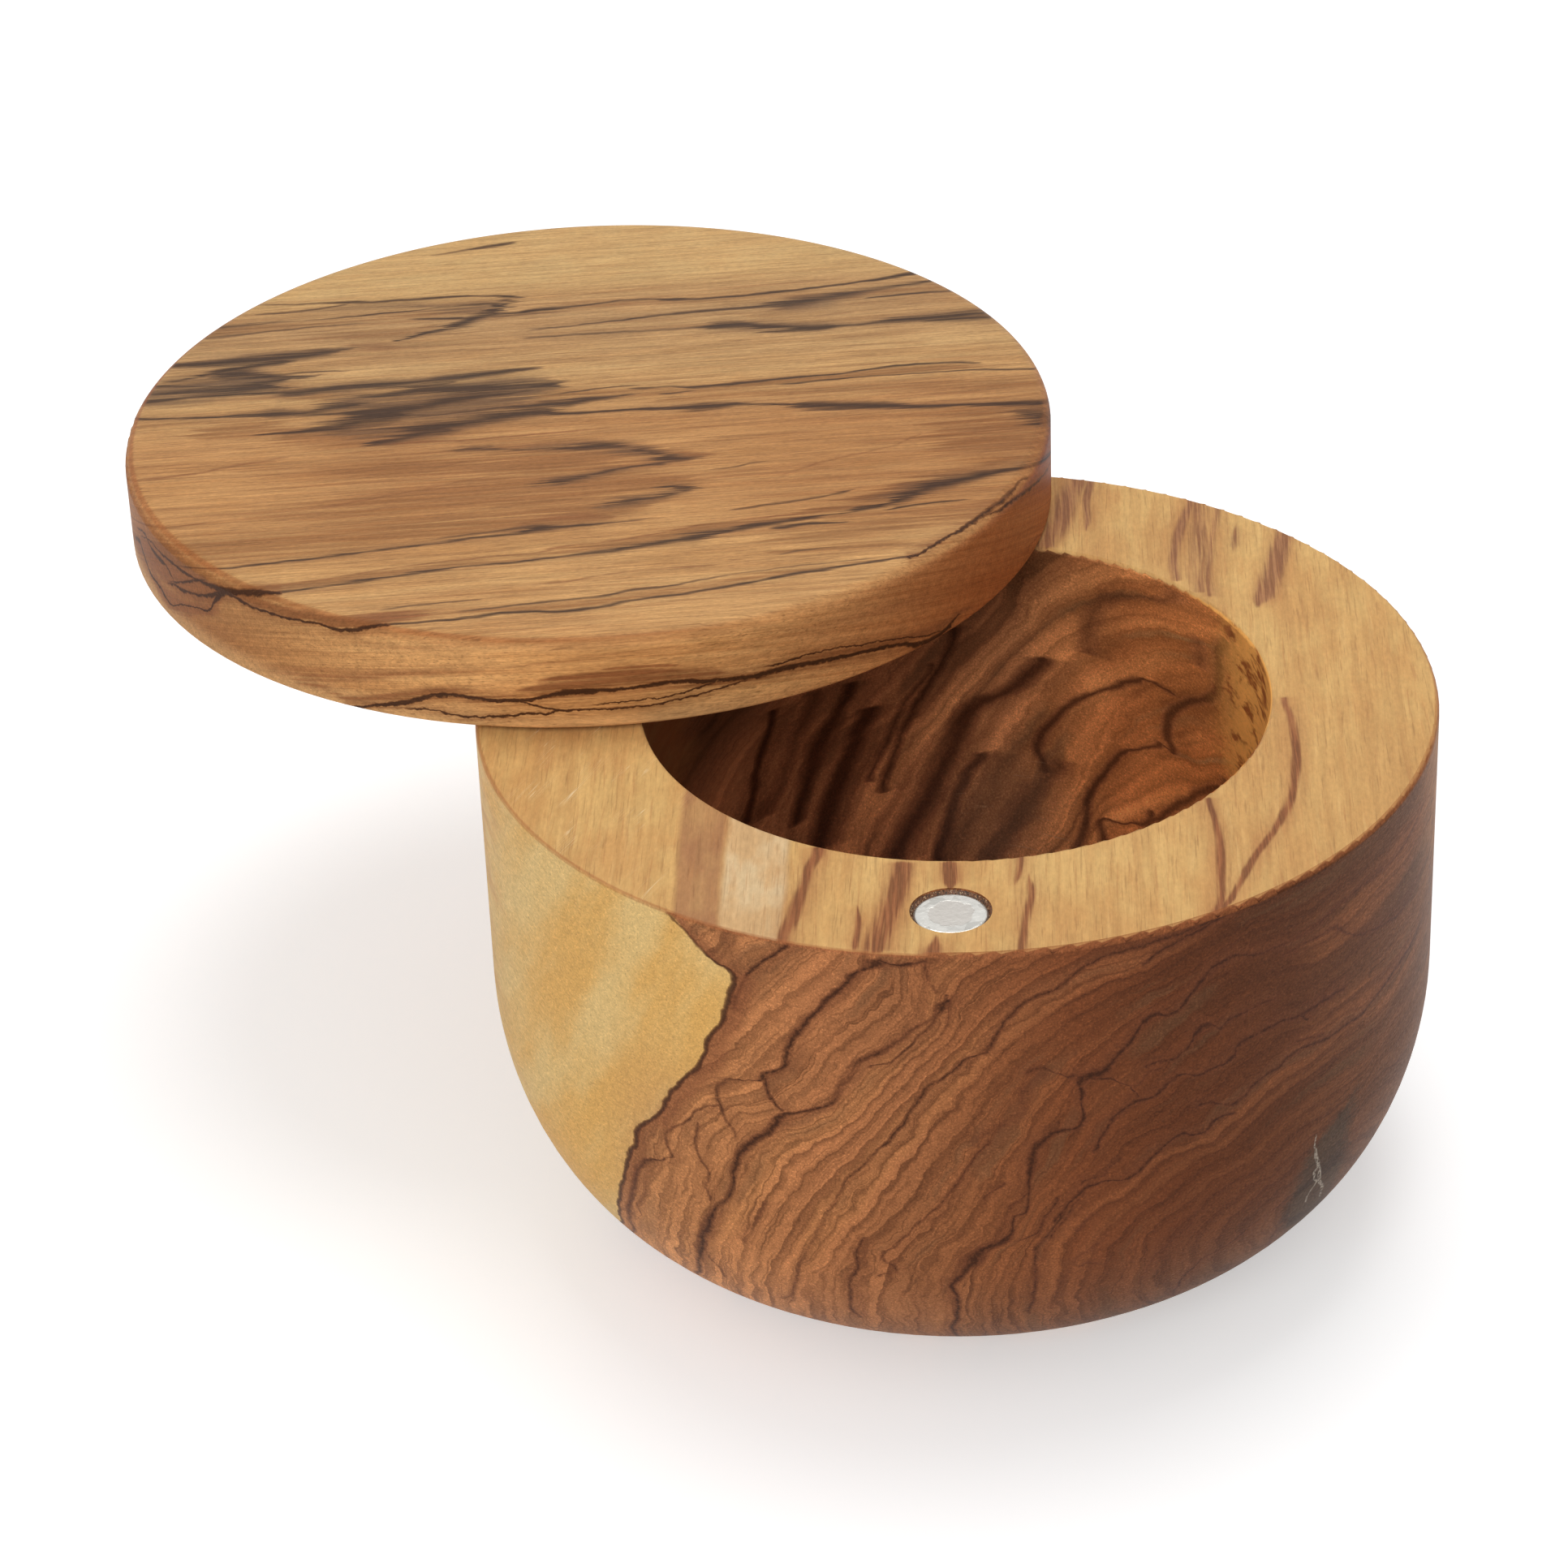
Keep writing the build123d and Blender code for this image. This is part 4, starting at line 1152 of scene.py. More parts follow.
    [(-44, -39.6, 50, 90), (-38, -39.4, 50, 100), (-34, -39, 30, 85), (-28, -38.2, 35),
     (-24, -37.4), (-18, -36.6), (-14, -36.1, 30), (-9, -36), (-5, -35.5, 35, 90), (0, -35, 50),
     (5, -34.2, 60), (8, -33.6, 60, 95), (12, -32.8, 102, 100), (15, -31.9, 50, 95),
     (18, -31.2, 60), (22, -30.6, 45, 90), (26, -29.9, 40, 95), (30, -29, 35), (33, -28.3, 40),
     (35, -27, 154), (37, -25.8, 141, 90), (39, -24.4, 154), (42, -23.6, 128, 95), (45, -22.6, 102),
     (48, -21.9, 50), (51, -21.4, 60, 100), (60, -20)],
    [(18, -32.2, 30, 0), (21, -32.1, 50, 80), (24, -31.7, 40), (28, -32.1, 20, 50),
     (31, -32, 10, 0)],
    [(32, -29.6, 10, 0), (34, -29.4, 20, 85), (38, -28.8, 25), (42, -28.5, 20, 50),
     (46, -28.6, 10, 0)],
    [(13, -27.6, 20, 0), (16, -27, 25, 50), (20, -26.3, 35, 60), (24, -25.7, 30), (27, -25, 25),
     (29.5, -24.2, 20, 50), (31, -23.8, 10, 0)],
    [(12, -16.5, 10, 0), (15, -16.5, 20, 50), (19, -15.6, 20, 40), (24, -15, 10, 0)],
    [(19, -38.9, 10, 0), (21, -38.3, 25, 50), (25, -37.8, 20, 40), (30, -37.4, 10, 0)],
    [(-28, -49.3, 50, 90), (-25, -48.8, 40), (-20, -48.6, 30, 80), (-15, -48.3, 40),
     (-11, -47.8, 35), (-8, -48, 40), (-6, -48.4), (-2, -48.2, 40, 75), (2, -47.3, 35, 70),
     (5, -46.6, 30), (8, -46.4), (11, -45.8, 35, 80), (15, -45), (18, -44.3), (21, -43.5, 40),
     (25, -42.9), (29, -42.1, 30), (33, -41.4, 25, 85), (35, -41.2, 30, 80), (36, -40.6, 15, 30)],
    [(-27, -45.2, 20, 0), (-24, -44.9, 25, 50), (-19, -44.5), (-14, -44.3, 20, 30)],
    [(-22, -47, 20, 0), (-16, -46.7, 25, 40), (-12, -46.4, 25, 60), (-8, -46), (-3, -45.7),
     (0, -45.4, 30, 70), (3, -44.6, 30, 65), (7, -44.2, 30, 60), (11, -43.2, 25, 50),
     (16, -42.4, 20, 40), (22, -41.6), (28, -41.2), (33, -41, 10, 0)],
    [(48, -7.5, 50, 0), (50.5, -7.8, 154, 60), (52.5, -8.5, 282, 85), (54, -9.5, 333, 90),
     (60, -10)],
]
LID_SIDE = [
    [(34.4, -41.4, 20, 80), (37, -39.6, 35), (39, -37.6, 40, 70), (40.5, -36.2, 50),
     (42, -34.8, 60), (44, -32.4, 80, 60), (46, -30.2, 80, 50), (48, -27.4, 70, 40),
     (50, -24.5, 50, 30)],
    [(-54, -28, 80, 80), (-53.2, -34, 70), (-52.5, -38.5, 50), (-51.6, -41, 50, 90), (-50.8, -44.5),
     (-50, -46.6, 25), (-48.5, -45.7, 20, 80), (-46.8, -45.8), (-45.6, -46.4, 30), (-44.9, -45, 60),
     (-44.3, -42, 80, 90), (-43, -40.2, 80, 100), (-40, -39.4, 100), (-37, -39.5, 40)],
    [(-43, -40.5, 40, 60), (-41, -42.3, 50, 80), (-40, -44), (-38, -45.2, 40), (-36.5, -46.6),
     (-34, -47.6, 30), (-31.5, -48.8, 40, 85), (-30.3, -50, 50, 90), (-28.5, -50.1), (-27, -49.3),
     (-25, -48.9, 40)],
    [(-49.5, -38.7, 30, 50), (-48, -38, 40, 70), (-46.5, -37, 60), (-45.5, -36.5, 30, 30)],
    [(-53.4, -24, 40, 60), (-52.3, -28, 40, 70), (-51.5, -31, 80, 90), (-50.5, -33, 50, 80),
     (-49.8, -36, 40, 60), (-49.5, -38.5, 30, 50)],
    [(-53, -26, 30, 50), (-51, -29.6, 40, 70), (-49, -33, 50, 80), (-47.4, -35.4, 50, 70),
     (-45.6, -37.4, 60, 80), (-43.6, -38.8, 90, 90), (-41.5, -39.4, 100, 100)],
    [(-49.8, -39.4, 40, 60), (-48.6, -40.6, 60, 80), (-46.8, -41.6, 40, 70), (-45, -41.2, 70, 80),
     (-43.4, -40, 90, 90)],
    [(-30, -75, 40, 90), (-27, -74.2, 50, 95), (-24, -73.4, 60, 100), (-22, -72.3, 70),
     (-20, -71, 60), (-18, -70.9, 50, 95), (-16, -72, 50, 100), (-13, -73.2), (-10, -73.3, 40, 90),
     (-8, -72.6, 50, 95), (-5, -71.5, 80, 100), (-2, -71.6, 60, 90), (2, -71.5, 40, 80),
     (5, -70.8, 60, 90), (8, -70.8, 60, 95), (11, -71.5, 60, 100), (15, -71.6, 70), (18, -70.5),
     (21, -69.7, 60), (25, -69.2), (28, -68.6), (31, -68.2, 50), (33, -68.2, 60, 90),
     (35, -69.2, 80), (37, -68.5), (38.5, -66.5), (39.5, -64.5, 60, 80), (40.2, -62.5, 30, 50),
     (41, -62, 20, 0)],
    [(-27, -74.9, 20, 0), (-22, -75.2, 25, 60), (-20, -75.8, 25, 70), (-18.5, -77.2, 30, 80),
     (-16, -78.2), (-12, -78.2), (-10, -77.6, 30, 70), (-7.5, -78, 30, 80), (-6.5, -77.2, 30, 70)],
    [(-11, -73.6, 30, 50), (-9.5, -74.6, 35, 70), (-8, -76), (-6, -77.2, 35, 80),
     (-2, -77.5, 30, 70), (2, -77.6), (5, -77.1), (8, -76), (10, -75, 30, 60), (13, -73.5),
     (15, -72.5, 20, 30)],
    [(-4, -76, 20, 0), (0, -75.7, 20, 60), (4, -75.4), (7, -74.6, 25), (9, -73.4, 30),
     (11, -72.3, 30, 50)],
    [(15, -69.2, 20, 0), (18, -68.6, 30, 60), (20.5, -67.4, 30, 70), (22, -66.6, 25, 60), (27, -66),
     (33, -66.2), (36, -66.9, 30, 50), (38, -66.5, 20, 40)],
    [(44, -32.5, 20, 30), (46, -32.2, 40, 50), (47, -30.8, 70), (49, -29.2), (51, -27.6, 60),
     (53, -25.8, 50, 40), (56, -23, 40, 30)],
]
LID_RED = [
    [(-26, -4.4, 25, 50), (-20, -4.3, 35, 80), (-15, -4.7, 30, 70), (-10, -4.4), (-4, -4.3, 30, 60),
     (2, -3.9, 25, 40), (6, -3.6, 10, 0)],
    [(28, 22.6, 30, 0), (31, 22.8, 70, 45), (34, 23.3, 50, 35), (38, 23.6, 20, 0)],
    [(-33, 23.6, 80, 0), (-28, 23.2, 130, 50), (-25, 22.6, 170, 55), (-22, 21.8, 120, 45),
     (-18, 21.6, 80, 35), (-12, 22, 50, 30), (-6, 22.1, 30, 0)],
    [(-56, -9.4, 50, 60), (-52, -9.2), (-48, -8.8, 40), (-44, -7.8, 40, 55), (-40, -6.8, 50, 50),
     (-37, -6.2), (-34, -6, 20, 0)],
    [(-55, -21.5, 40, 50), (-50, -21.9, 50, 60), (-46, -21.4, 25, 50), (-40, -20.8, 20, 30),
     (-35, -20, 30), (-31, -19.4, 40, 40), (-27, -18.4, 40, 50), (-23, -17.3, 30, 40),
     (-19, -16.2, 25, 35), (-14, -14.8, 25, 40), (-9, -13.9), (-6, -13.6, 10, 0)],
    [(-20, -12, 30, 0), (-18, -11.3, 40, 40), (-15.5, -10.3, 30, 35), (-12, -9.9, 20, 30),
     (-8, -9.8, 10, 0)],
    [(9, -11.6, 60, 0), (11, -12.4, 90, 50), (14, -12.8, 60, 35), (17, -13, 20, 0)],
    [(-12, -26.9, 30, 0), (-9, -26.8, 70, 40), (-5, -26.2, 120, 55), (-1, -26.4, 130, 60),
     (1.5, -26.8, 80, 50), (4, -27.2, 30, 0)],
    [(-40, -37.8, 20, 40), (-34, -37.4, 30, 50), (-28, -36.3, 30, 60), (-24, -35.5, 25, 50),
     (-18, -34.8, 30, 60), (-13, -34.4), (-8, -34.2), (-4, -33, 40), (0, -32.7, 30, 50), (5, -31.9),
     (9, -31), (13, -30, 35, 60), (18, -29.6, 30), (24, -29.2, 20, 30)],
    [(18, -20.5, 30, 0), (22, -19.2, 50, 35), (25, -17.4, 50, 40), (28, -16.2, 50, 45),
     (31, -15.2, 40), (34, -14.2, 40, 40), (37, -12.6), (39, -11, 40, 30), (41, -9, 30, 0)],
    [(-10, -41.6, 20, 0), (-5, -41.6, 30, 50), (-2, -41), (1, -40.4), (6, -40.1, 20),
     (12, -40, 30, 40), (16, -39.6, 10, 0)],
    [(20, -39.4, 15, 0), (24, -39.4, 20, 50), (30, -39.2, 20, 40), (36, -38.8, 10, 0)],
    [(20, -68, 100, 50), (26, -67.4, 120, 70), (33, -67.2, 100, 60)],
    [(-10, -68.6, 80, 0), (-8, -67.6, 180, 60), (-4, -67.2, 200, 65), (4, -67.2, 200, 60),
     (10, -67.8, 180, 55), (12, -69, 120, 40), (14, -70, 60, 20)],
    [(-28, -73.6, 80, 40), (-24, -72.4, 90)],
    [(-23, -70.2, 40, 0), (-21, -69.2, 80, 40), (-18, -68.9, 70), (-15, -70, 80, 30), (-12, -71.6),
     (-10, -72, 50)],
    [(-38, -65.5, 50, 0), (-34, -66.4, 120, 35), (-28, -65.5, 120, 40), (-22, -63.4, 90, 30),
     (-15, -63, 80), (-6, -61.5, 140, 40), (0, -60.5, 150, 35), (8, -59.5, 100, 30)],
    [(-36, -69.5, 40, 30), (-34, -71, 60, 50), (-32.5, -72.5, 40, 30)],
    [(47.5, -47, 40, 0), (48.2, -43.5, 50, 30), (49.5, -41.6, 50, 35), (51, -41.4, 50, 40),
     (52.4, -42.4, 40), (53, -45)],
    [(49, -54, 40, 40), (49.6, -50, 50, 45), (50.5, -47, 60, 50), (52, -45)],
]
LID_BROWN = [
    [(-48, -9, 100, 0), (-38, -10, 300, 22), (-26, -10.5, 500, 50), (-12, -10.8, 600, 75),
     (0, -11, 500, 85), (7, -12, 340, 80), (12, -13, 160, 50), (16, -13.6, 60, 0)],
    [(-52, -19.5, 100, 0), (-40, -19.5, 340, 28), (-26, -19.2, 540, 55), (-10, -18.6, 560, 80),
     (2, -18, 400, 85), (9, -18.4, 260, 70), (14, -19, 140, 40), (17, -19.6, 60, 0)],
    [(-56, -28, 400, 35), (-44, -27.6, 500, 50), (-30, -26.8, 500, 62), (-14, -25.8, 440, 75),
     (-2, -25, 320, 80), (5, -24, 220, 60), (10, -22.8, 100, 30), (13, -22, 50, 0)],
    [(36, -12, 400, 0), (42, -12, 700, 60), (50, -12, 800, 70), (58, -12)],
    [(-55, -30, 600, 50), (-48, -33, 700, 60), (-43, -36, 500, 40), (-40, -38, 300, 0)],
    [(-48, 2.5, 250, 0), (-46, 2.2, 300, 50), (-40, 2.5, 320, 60), (-33, -1.5, 300),
     (-26, -2, 500, 70), (-20, -3, 400, 50), (-12, -2, 200, 20)],
    [(-38, -38.4, 90, 70), (-28, -37.3, 100, 75), (-18, -35.8), (-9, -35.1, 90),
     (-3, -34.1, 120, 70), (5, -33.1), (12, -31.3, 130, 75), (20, -30.1, 90, 70),
     (28, -28, 160, 60), (32, -26.4, 200, 70), (38, -23.2, 200, 60), (44, -21, 160, 50),
     (52, -18.5)],
    [(14, -35, 100, 0), (20, -34.8, 160, 45), (26, -34.6, 260, 55), (34, -34, 300),
     (40, -32.5, 260, 50), (46, -31, 200)],
    [(18, -38.6, 60, 0), (22, -38, 100, 50), (30, -37.8, 140), (36, -38.2, 100, 40),
     (39, -38, 50, 0)],
    [(-28, -46.8, 160, 50), (-22, -46.6, 170, 60), (-14, -46.8, 120), (-6, -47, 120, 65),
     (2, -46.2), (10, -44.9, 110, 60), (18, -43.4, 90), (26, -42.2, 80, 55), (33, -41.2, 40, 50)],
    [(6, 5.6, 50, 40), (14, 5, 80, 50), (24, 5.4, 90, 70), (32, 5.8, 110, 75), (38, 6.2, 120),
     (45, 6, 110, 70), (49, 5.6, 60, 30), (50, 5.6, 20, 0)],
    [(10, 2.4, 100, 30), (18, 2.4, 160, 40), (26, 2.4, 180, 50), (34, 2, 220), (42, 1.4, 260, 55),
     (50, 0.4, 280, 50), (58, 0, 300)],
    [(-46, 29.5, 150, 50), (-38, 30.2, 160, 45), (-28, 30.4), (-20, 30.8, 160, 50),
     (-13, 31.2, 140), (-10, 31.5, 100, 30), (-8, 31.5, 50, 0)],
    [(-38, 26, 100, 0), (-32, 26.2, 160, 40), (-25, 26, 180, 50), (-20, 26.5, 150),
     (-17, 27.5, 100, 30), (-15, 28, 50, 0)],
    [(-54, 14, 350, 50), (-46, 15, 400, 60), (-38, 14, 350, 50), (-30, 9, 300, 60), (-22, 7, 450),
     (-12, 6), (-4, 6, 320, 50), (6, 5, 200, 40), (14, 3.5, 150, 30), (20, 3, 100, 0)],
    [(-10, 29.2, 100, 50), (0, 29.6, 100, 45), (8, 30, 90, 40), (14, 29.6, 80, 35),
     (22, 29, 150, 30), (28, 28.5, 160, 50), (34, 28.2, 120), (42, 28.8, 100, 40), (48, 29.4)],
    [(20, 24, 100, 0), (21, 24, 120, 35), (24, 24.4, 200, 40), (27, 25.5, 200, 45),
     (30, 25, 140, 30), (34, 24.6, 100, 0)],
    [(29, 16, 120, 0), (33, 16.2, 160, 35), (38, 16.8), (44, 17, 100, 20), (50, 17.5, 100, 0)],
]
LID_PALE = [
    [(-25, -80, 300, 0), (-18, -79, 350, 70), (-5, -78, 450, 80), (8, -77), (20, -75, 400),
     (30, -73, 350, 70), (37, -72, 250, 30)],
    [(-56, -13, 400, 50), (-48, -13, 600), (-40, -12, 500, 40), (-34, -10, 300, 0)],
    [(8, -12, 300, 0), (14, -12, 600, 40), (26, -12, 700, 50), (36, -12, 400, 20),
     (40, -12, 200, 0)],
]
LID_SIDE_BROWN = [
    [(-54, -30, 300, 60), (-50.5, -35, 500, 85), (-47, -39.5, 500, 90), (-44, -41.5, 300, 75),
     (-42, -42, 100, 0)],
    [(-44, -39, 80, 0), (-41.5, -40.6, 120, 70), (-39, -42.6, 150, 85), (-36, -44.8, 160),
     (-33, -46.2, 150, 80), (-30, -47.8, 160, 85), (-27, -47.4, 140, 80), (-21, -46.8, 100, 50),
     (-15, -46, 60, 0)],
    [(-14, -71, 50, 0), (-9, -69.8, 100, 70), (-3, -69.2, 130, 80), (4, -69, 120),
     (11, -69.4, 100, 60), (18, -70.6, 40, 0)],
    [(-10, -67.4, 40, 0), (-6, -66.8, 80, 70), (0, -66.6, 100, 75), (6, -67, 90, 60),
     (12, -68, 40, 0)],
    [(-3, -65.2, 30, 0), (1, -64.8, 60, 60), (6, -65.2, 50, 50), (10, -66.2, 20, 0)],
    [(-33, -71.5, 80, 0), (-29, -72.2, 140, 50), (-23, -70.4), (-18, -69.4, 100, 40),
     (-14, -70, 60, 0)],
    [(28, -66.8, 80, 0), (33, -66.4, 140, 60), (38, -64.8, 160), (42, -61, 100, 30)],
    [(-43, -62.8, 100, 0), (-38, -63.8, 300, 26), (-31, -64.8, 360, 34), (-23, -63.5, 320, 32),
     (-15, -62.6, 260, 22), (-8, -62.3, 100, 0)],
    [(-34, -51.1, 100, 0), (-26, -54.6, 220, 24), (-18, -56.3, 220, 20), (-9, -57.1, 100, 0)],
    [(13, -60.9, 100, 0), (21, -59.3, 300, 20), (29, -56.7, 360, 26), (36, -53.8, 300, 20),
     (41, -51.6, 100, 0)],
    [(-53, -31.3, 240, 40), (-52, -39.6, 400, 55), (-50, -45, 400, 60), (-47, -46.4, 340, 50),
     (-44, -45.9, 200, 24), (-43, -45.7, 100, 0)],
    [(-38, -66.6, 100, 0), (-34, -67.7, 200, 36), (-31, -70.8, 180, 30), (-27, -74.5, 80, 0)],
]
LID_SMOKE = [
    [(-34, 10, 200, 0), (-30, 8, 400, 50), (-24, 5, 500, 90), (-18, 5, 600), (-12, 6),
     (-6, 7, 400, 80), (-2, 7, 200, 0)],
    [(-57, 13, 300, 60), (-48, 13.5, 450, 90), (-42, 15), (-37, 14.5, 300, 60), (-32, 13, 100, 0)],
    [(-33, 2, 200, 0), (-29, 0, 250, 60), (-22, -1, 300, 80), (-15, -1, 250, 60), (-9, 1, 200, 40),
     (-4, 2, 100, 0)],
    [(-40, 33, 100, 0), (-32, 34, 160, 40), (-22, 34, 200, 50), (-14, 32, 260, 60),
     (-9, 32, 200, 50), (-5, 33.4, 80, 0)],
    [(16, 21.5, 100, 0), (22, 21, 200, 60), (28, 20.4, 160), (36, 20, 140, 40), (48, 20, 200, 50),
     (56, 20, 200, 40)],
    [(-12, -7.6, 100, 0), (-6, -8, 160, 50), (2, -9, 200, 70), (7, -11.5, 260, 80),
     (10, -13, 150, 50), (13, -13.6, 60, 0)],
    [(-12, -18, 100, 0), (-6, -17.5, 180, 50), (0, -16, 180, 60), (5, -15, 120, 30)],
    [(-4, -24.5, 100, 0), (1, -24, 200, 60), (6, -22.6, 220, 70), (11, -21, 150, 50),
     (14, -21, 60, 0)],
    [(22, 27, 200, 0), (27, 26, 300, 50), (31, 26), (36, 27, 150, 0)],
    [(30, -27, 150, 30), (38, -24.5, 250, 60), (46, -22, 200, 50), (54, -20, 150, 40)],
]

# How the lid is tinted from growth layer to growth layer.
LID_WARMTH = [
    (0.00, (1.06, 1.00, 0.89)), (0.13, (1.09, 1.10, 1.04)), (0.20, (1.08, 1.08, 1.00)),
    (0.27, (0.99, 0.93, 0.83)), (0.36, (0.98, 0.90, 0.80)), (0.49, (0.94, 0.87, 0.78)),
    (0.56, (0.98, 1.00, 0.95)), (0.61, (1.02, 1.10, 1.10)), (0.66, (0.93, 0.97, 0.97)),
    (0.73, (0.86, 0.90, 0.93)), (0.80, (0.90, 0.88, 0.83)), (0.90, (0.91, 0.87, 0.81)),
]


class LidSpot:
    """The shaded point of the lid: how far it lies along and across the fibres from the middle
    of the top face, in mm, where it faces, and the long thin noises that streaks fray into."""

    def __init__(self, w):
        place, normal = place_and_normal(w)
        self.place = w.vector("SUBTRACT", place, LID_TOP)
        cosine, sine = math.cos(LID_FIBRE_ANGLE), math.sin(LID_FIBRE_ANGLE)
        self.along = w.vector("DOT_PRODUCT", self.place, (cosine, sine, 0.0))
        self.across = w.vector("DOT_PRODUCT", self.place, (-sine, cosine, 0.0))
        self.depth = w.split(self.place)[2]
        # Growth layers dip under the top face, so a point on the side shows a deeper layer.
        self.plane = w.line(self.depth, LID_DIP, self.across)
        self.facing = w.vector("DOT_PRODUCT", normal, (cosine, sine, 0.0))
        self.upward = w.split(normal)[2]

        flat = (self.along, self.plane)
        self.hairs = w.fibre_noise(*flat, (0.09, 3.2), 3.0, 2.0, 0.6)
        self.frays = w.fibre_noise(*flat, (0.05, 1.3), 9.0, 2.0, 0.6)
        self.streaky = w.fibre_noise(*flat, (0.035, 0.9), 11.0, 4.0, 0.65)
        self.silky = w.fibre_noise(*flat, (0.03, 0.3), 5.0, 3.0, 0.55)
        self.mottle = w.fibre_noise(*flat, (0.12, 0.2), 0.0, 3.0, 0.6)
        ripple = w.fibre_noise(*flat, (0.3, 0.6), 7.0, 1.0)
        self.even = w.plus(self.plane, w.line(ripple, 0.6, -0.3))
        self.jitter = w.noise(w.scaled(self.place, 1.1), 2.0, 0.6)
        self.hair = w.fade(self.hairs, 0.3, 0.7)
        self.tuft = w.fade(self.frays, 0.3, 0.7)


def lid_streaks(w, spot):
    """Draws the lid's streaks, whose ends are frayed along the fibres by an amount of their
    own: the thin, the red, the thick and what lies beside those, smoke, brown and pale."""
    fray = w.line(spot.frays, 6.0, -3.0)
    slight = w.plus(spot.along, w.times(fray, 0.4))
    torn = w.plus(spot.along, w.line(spot.hairs, 7.0, -3.5), fray)
    flaming = w.plus(spot.along, w.times(fray, 2.2), w.line(spot.streaky, 12.0, -6.0))
    slight, torn, flaming = (
        Sheet(w, along, spot.even, ALONG_SPAN, ACROSS_SPAN) for along in (slight, torn, flaming)
    )
    dark = carried(LID_DARK)
    fine = [vein for vein in dark if max(point[2] for point in vein) < FINE_VEIN]
    return (
        slight.lines(fine),
        slight.lines(carried(LID_RED)),
        *torn.draw([vein for vein in dark if vein not in fine], 1.6),
        torn.lines(carried(LID_SMOKE), gap=SOFT_GAP),
        flaming.lines(carried(LID_BROWN), gap=SOFT_GAP),
        flaming.lines(carried(LID_PALE), gap=SOFT_GAP),
    )


def lid_face_wood(w, look, spot):
    """Colour of the lid with the streaks that run over its top and on down its side."""
    plane, streaky, hair, tuft = spot.plane, spot.streaky, spot.hair, spot.tuft
    thin, red, thick, beside, smoke, brown, pale = lid_streaks(w, spot)
    calm = w.fade(plane, 44.0, 32.0)
    far = w.times(w.fade(plane, 33.0, 40.0), w.fade(spot.mottle, 0.35, 0.62))
    pale = w.fade(w.times(pale, w.plus(tuft, 0.6)), 0.1, 0.8, 0.0, 0.6)
    brown = w.times(brown, w.plus(w.line(tuft, 0.7, 0.45), w.times(hair, 0.35)))
    crease = w.times(w.near(streaky, 0.5, 0.002, 0.022), w.fade(spot.silky, 0.44, 0.62))
    smoke = w.times(smoke, w.plus(w.line(tuft, 0.6, 0.3), w.times(hair, 0.7)))
    red = w.fade(w.times(red, w.line(hair, 0.8, 0.6)), 0.08, 0.7)
    worn = w.times(thick, w.plus(w.line(hair, 0.6, 0.45), w.times(tuft, 0.45)))
    worn = w.most(worn, w.times(thin, w.line(hair, 0.75, 0.72)))
    colour = w.lay(
        w.blend(w.fade(spot.silky, 0.35, 0.68), look.lid_honey, look.lid_tan),
        (w.times(w.fade(spot.mottle, 0.5, 0.75), 0.35), srgb(178, 126, 76)),
        (w.fade(plane, 30.0, 41.0, 0.0, 0.85), srgb(215, 179, 124)),
        (w.times(far, 0.45), srgb(204, 160, 106)),
        (pale, srgb(206, 160, 106)),
        (w.times(w.fade(brown, 0.05, 0.62), 0.8), w.blend(tuft, look.lid_brown, srgb(138, 92, 54))),
        (w.times(w.fade(streaky, 0.5, 0.66), w.line(calm, 0.36, 0.14)), srgb(150, 102, 62)),
        (w.times(crease, w.fade(plane, 40.0, 30.0), 0.5), srgb(126, 86, 56)),
        (w.times(w.fade(spot.frays, 0.42, 0.3), 0.35), srgb(210, 162, 106)),
        (
            w.times(w.fade(smoke, 0.1, 0.8), 0.85),
            w.blend(hair, srgb(88, 66, 52), srgb(118, 88, 64)),
        ),
        (w.times(beside, tuft, 0.5), srgb(138, 100, 68)),
        (w.times(red, 0.75), srgb(128, 82, 52)),
        (w.fade(worn, 0.06, 0.42, 0.0, 0.6), srgb(112, 80, 56)),
        (w.fade(worn, 0.22, 0.85, 0.0, 0.93), look.lid_dark),
    )
    combed = w.times(w.line(hair, 0.2, -0.1), w.line(calm, 0.7, 0.3))
    return w.toned(colour, w.plus(combed, w.line(tuft, 0.08, 0.92)))


def lid_warmth(w, spot):
    """A tint that drifts from growth layer to growth layer, and is browner to the right."""
    plane = spot.plane
    warmth = w.shades(w.line(plane, 1.0 / 120.0, 0.5), LID_WARMTH)
    browner = w.times(
        w.fade(spot.along, 6.0, 28.0), w.fade(plane, 0.0, -8.0), w.fade(plane, -37.0, -28.0)
    )
    return w.blend(w.times(browner, w.line(spot.tuft, 0.5, 0.6)), warmth, (0.81, 0.69, 0.58))


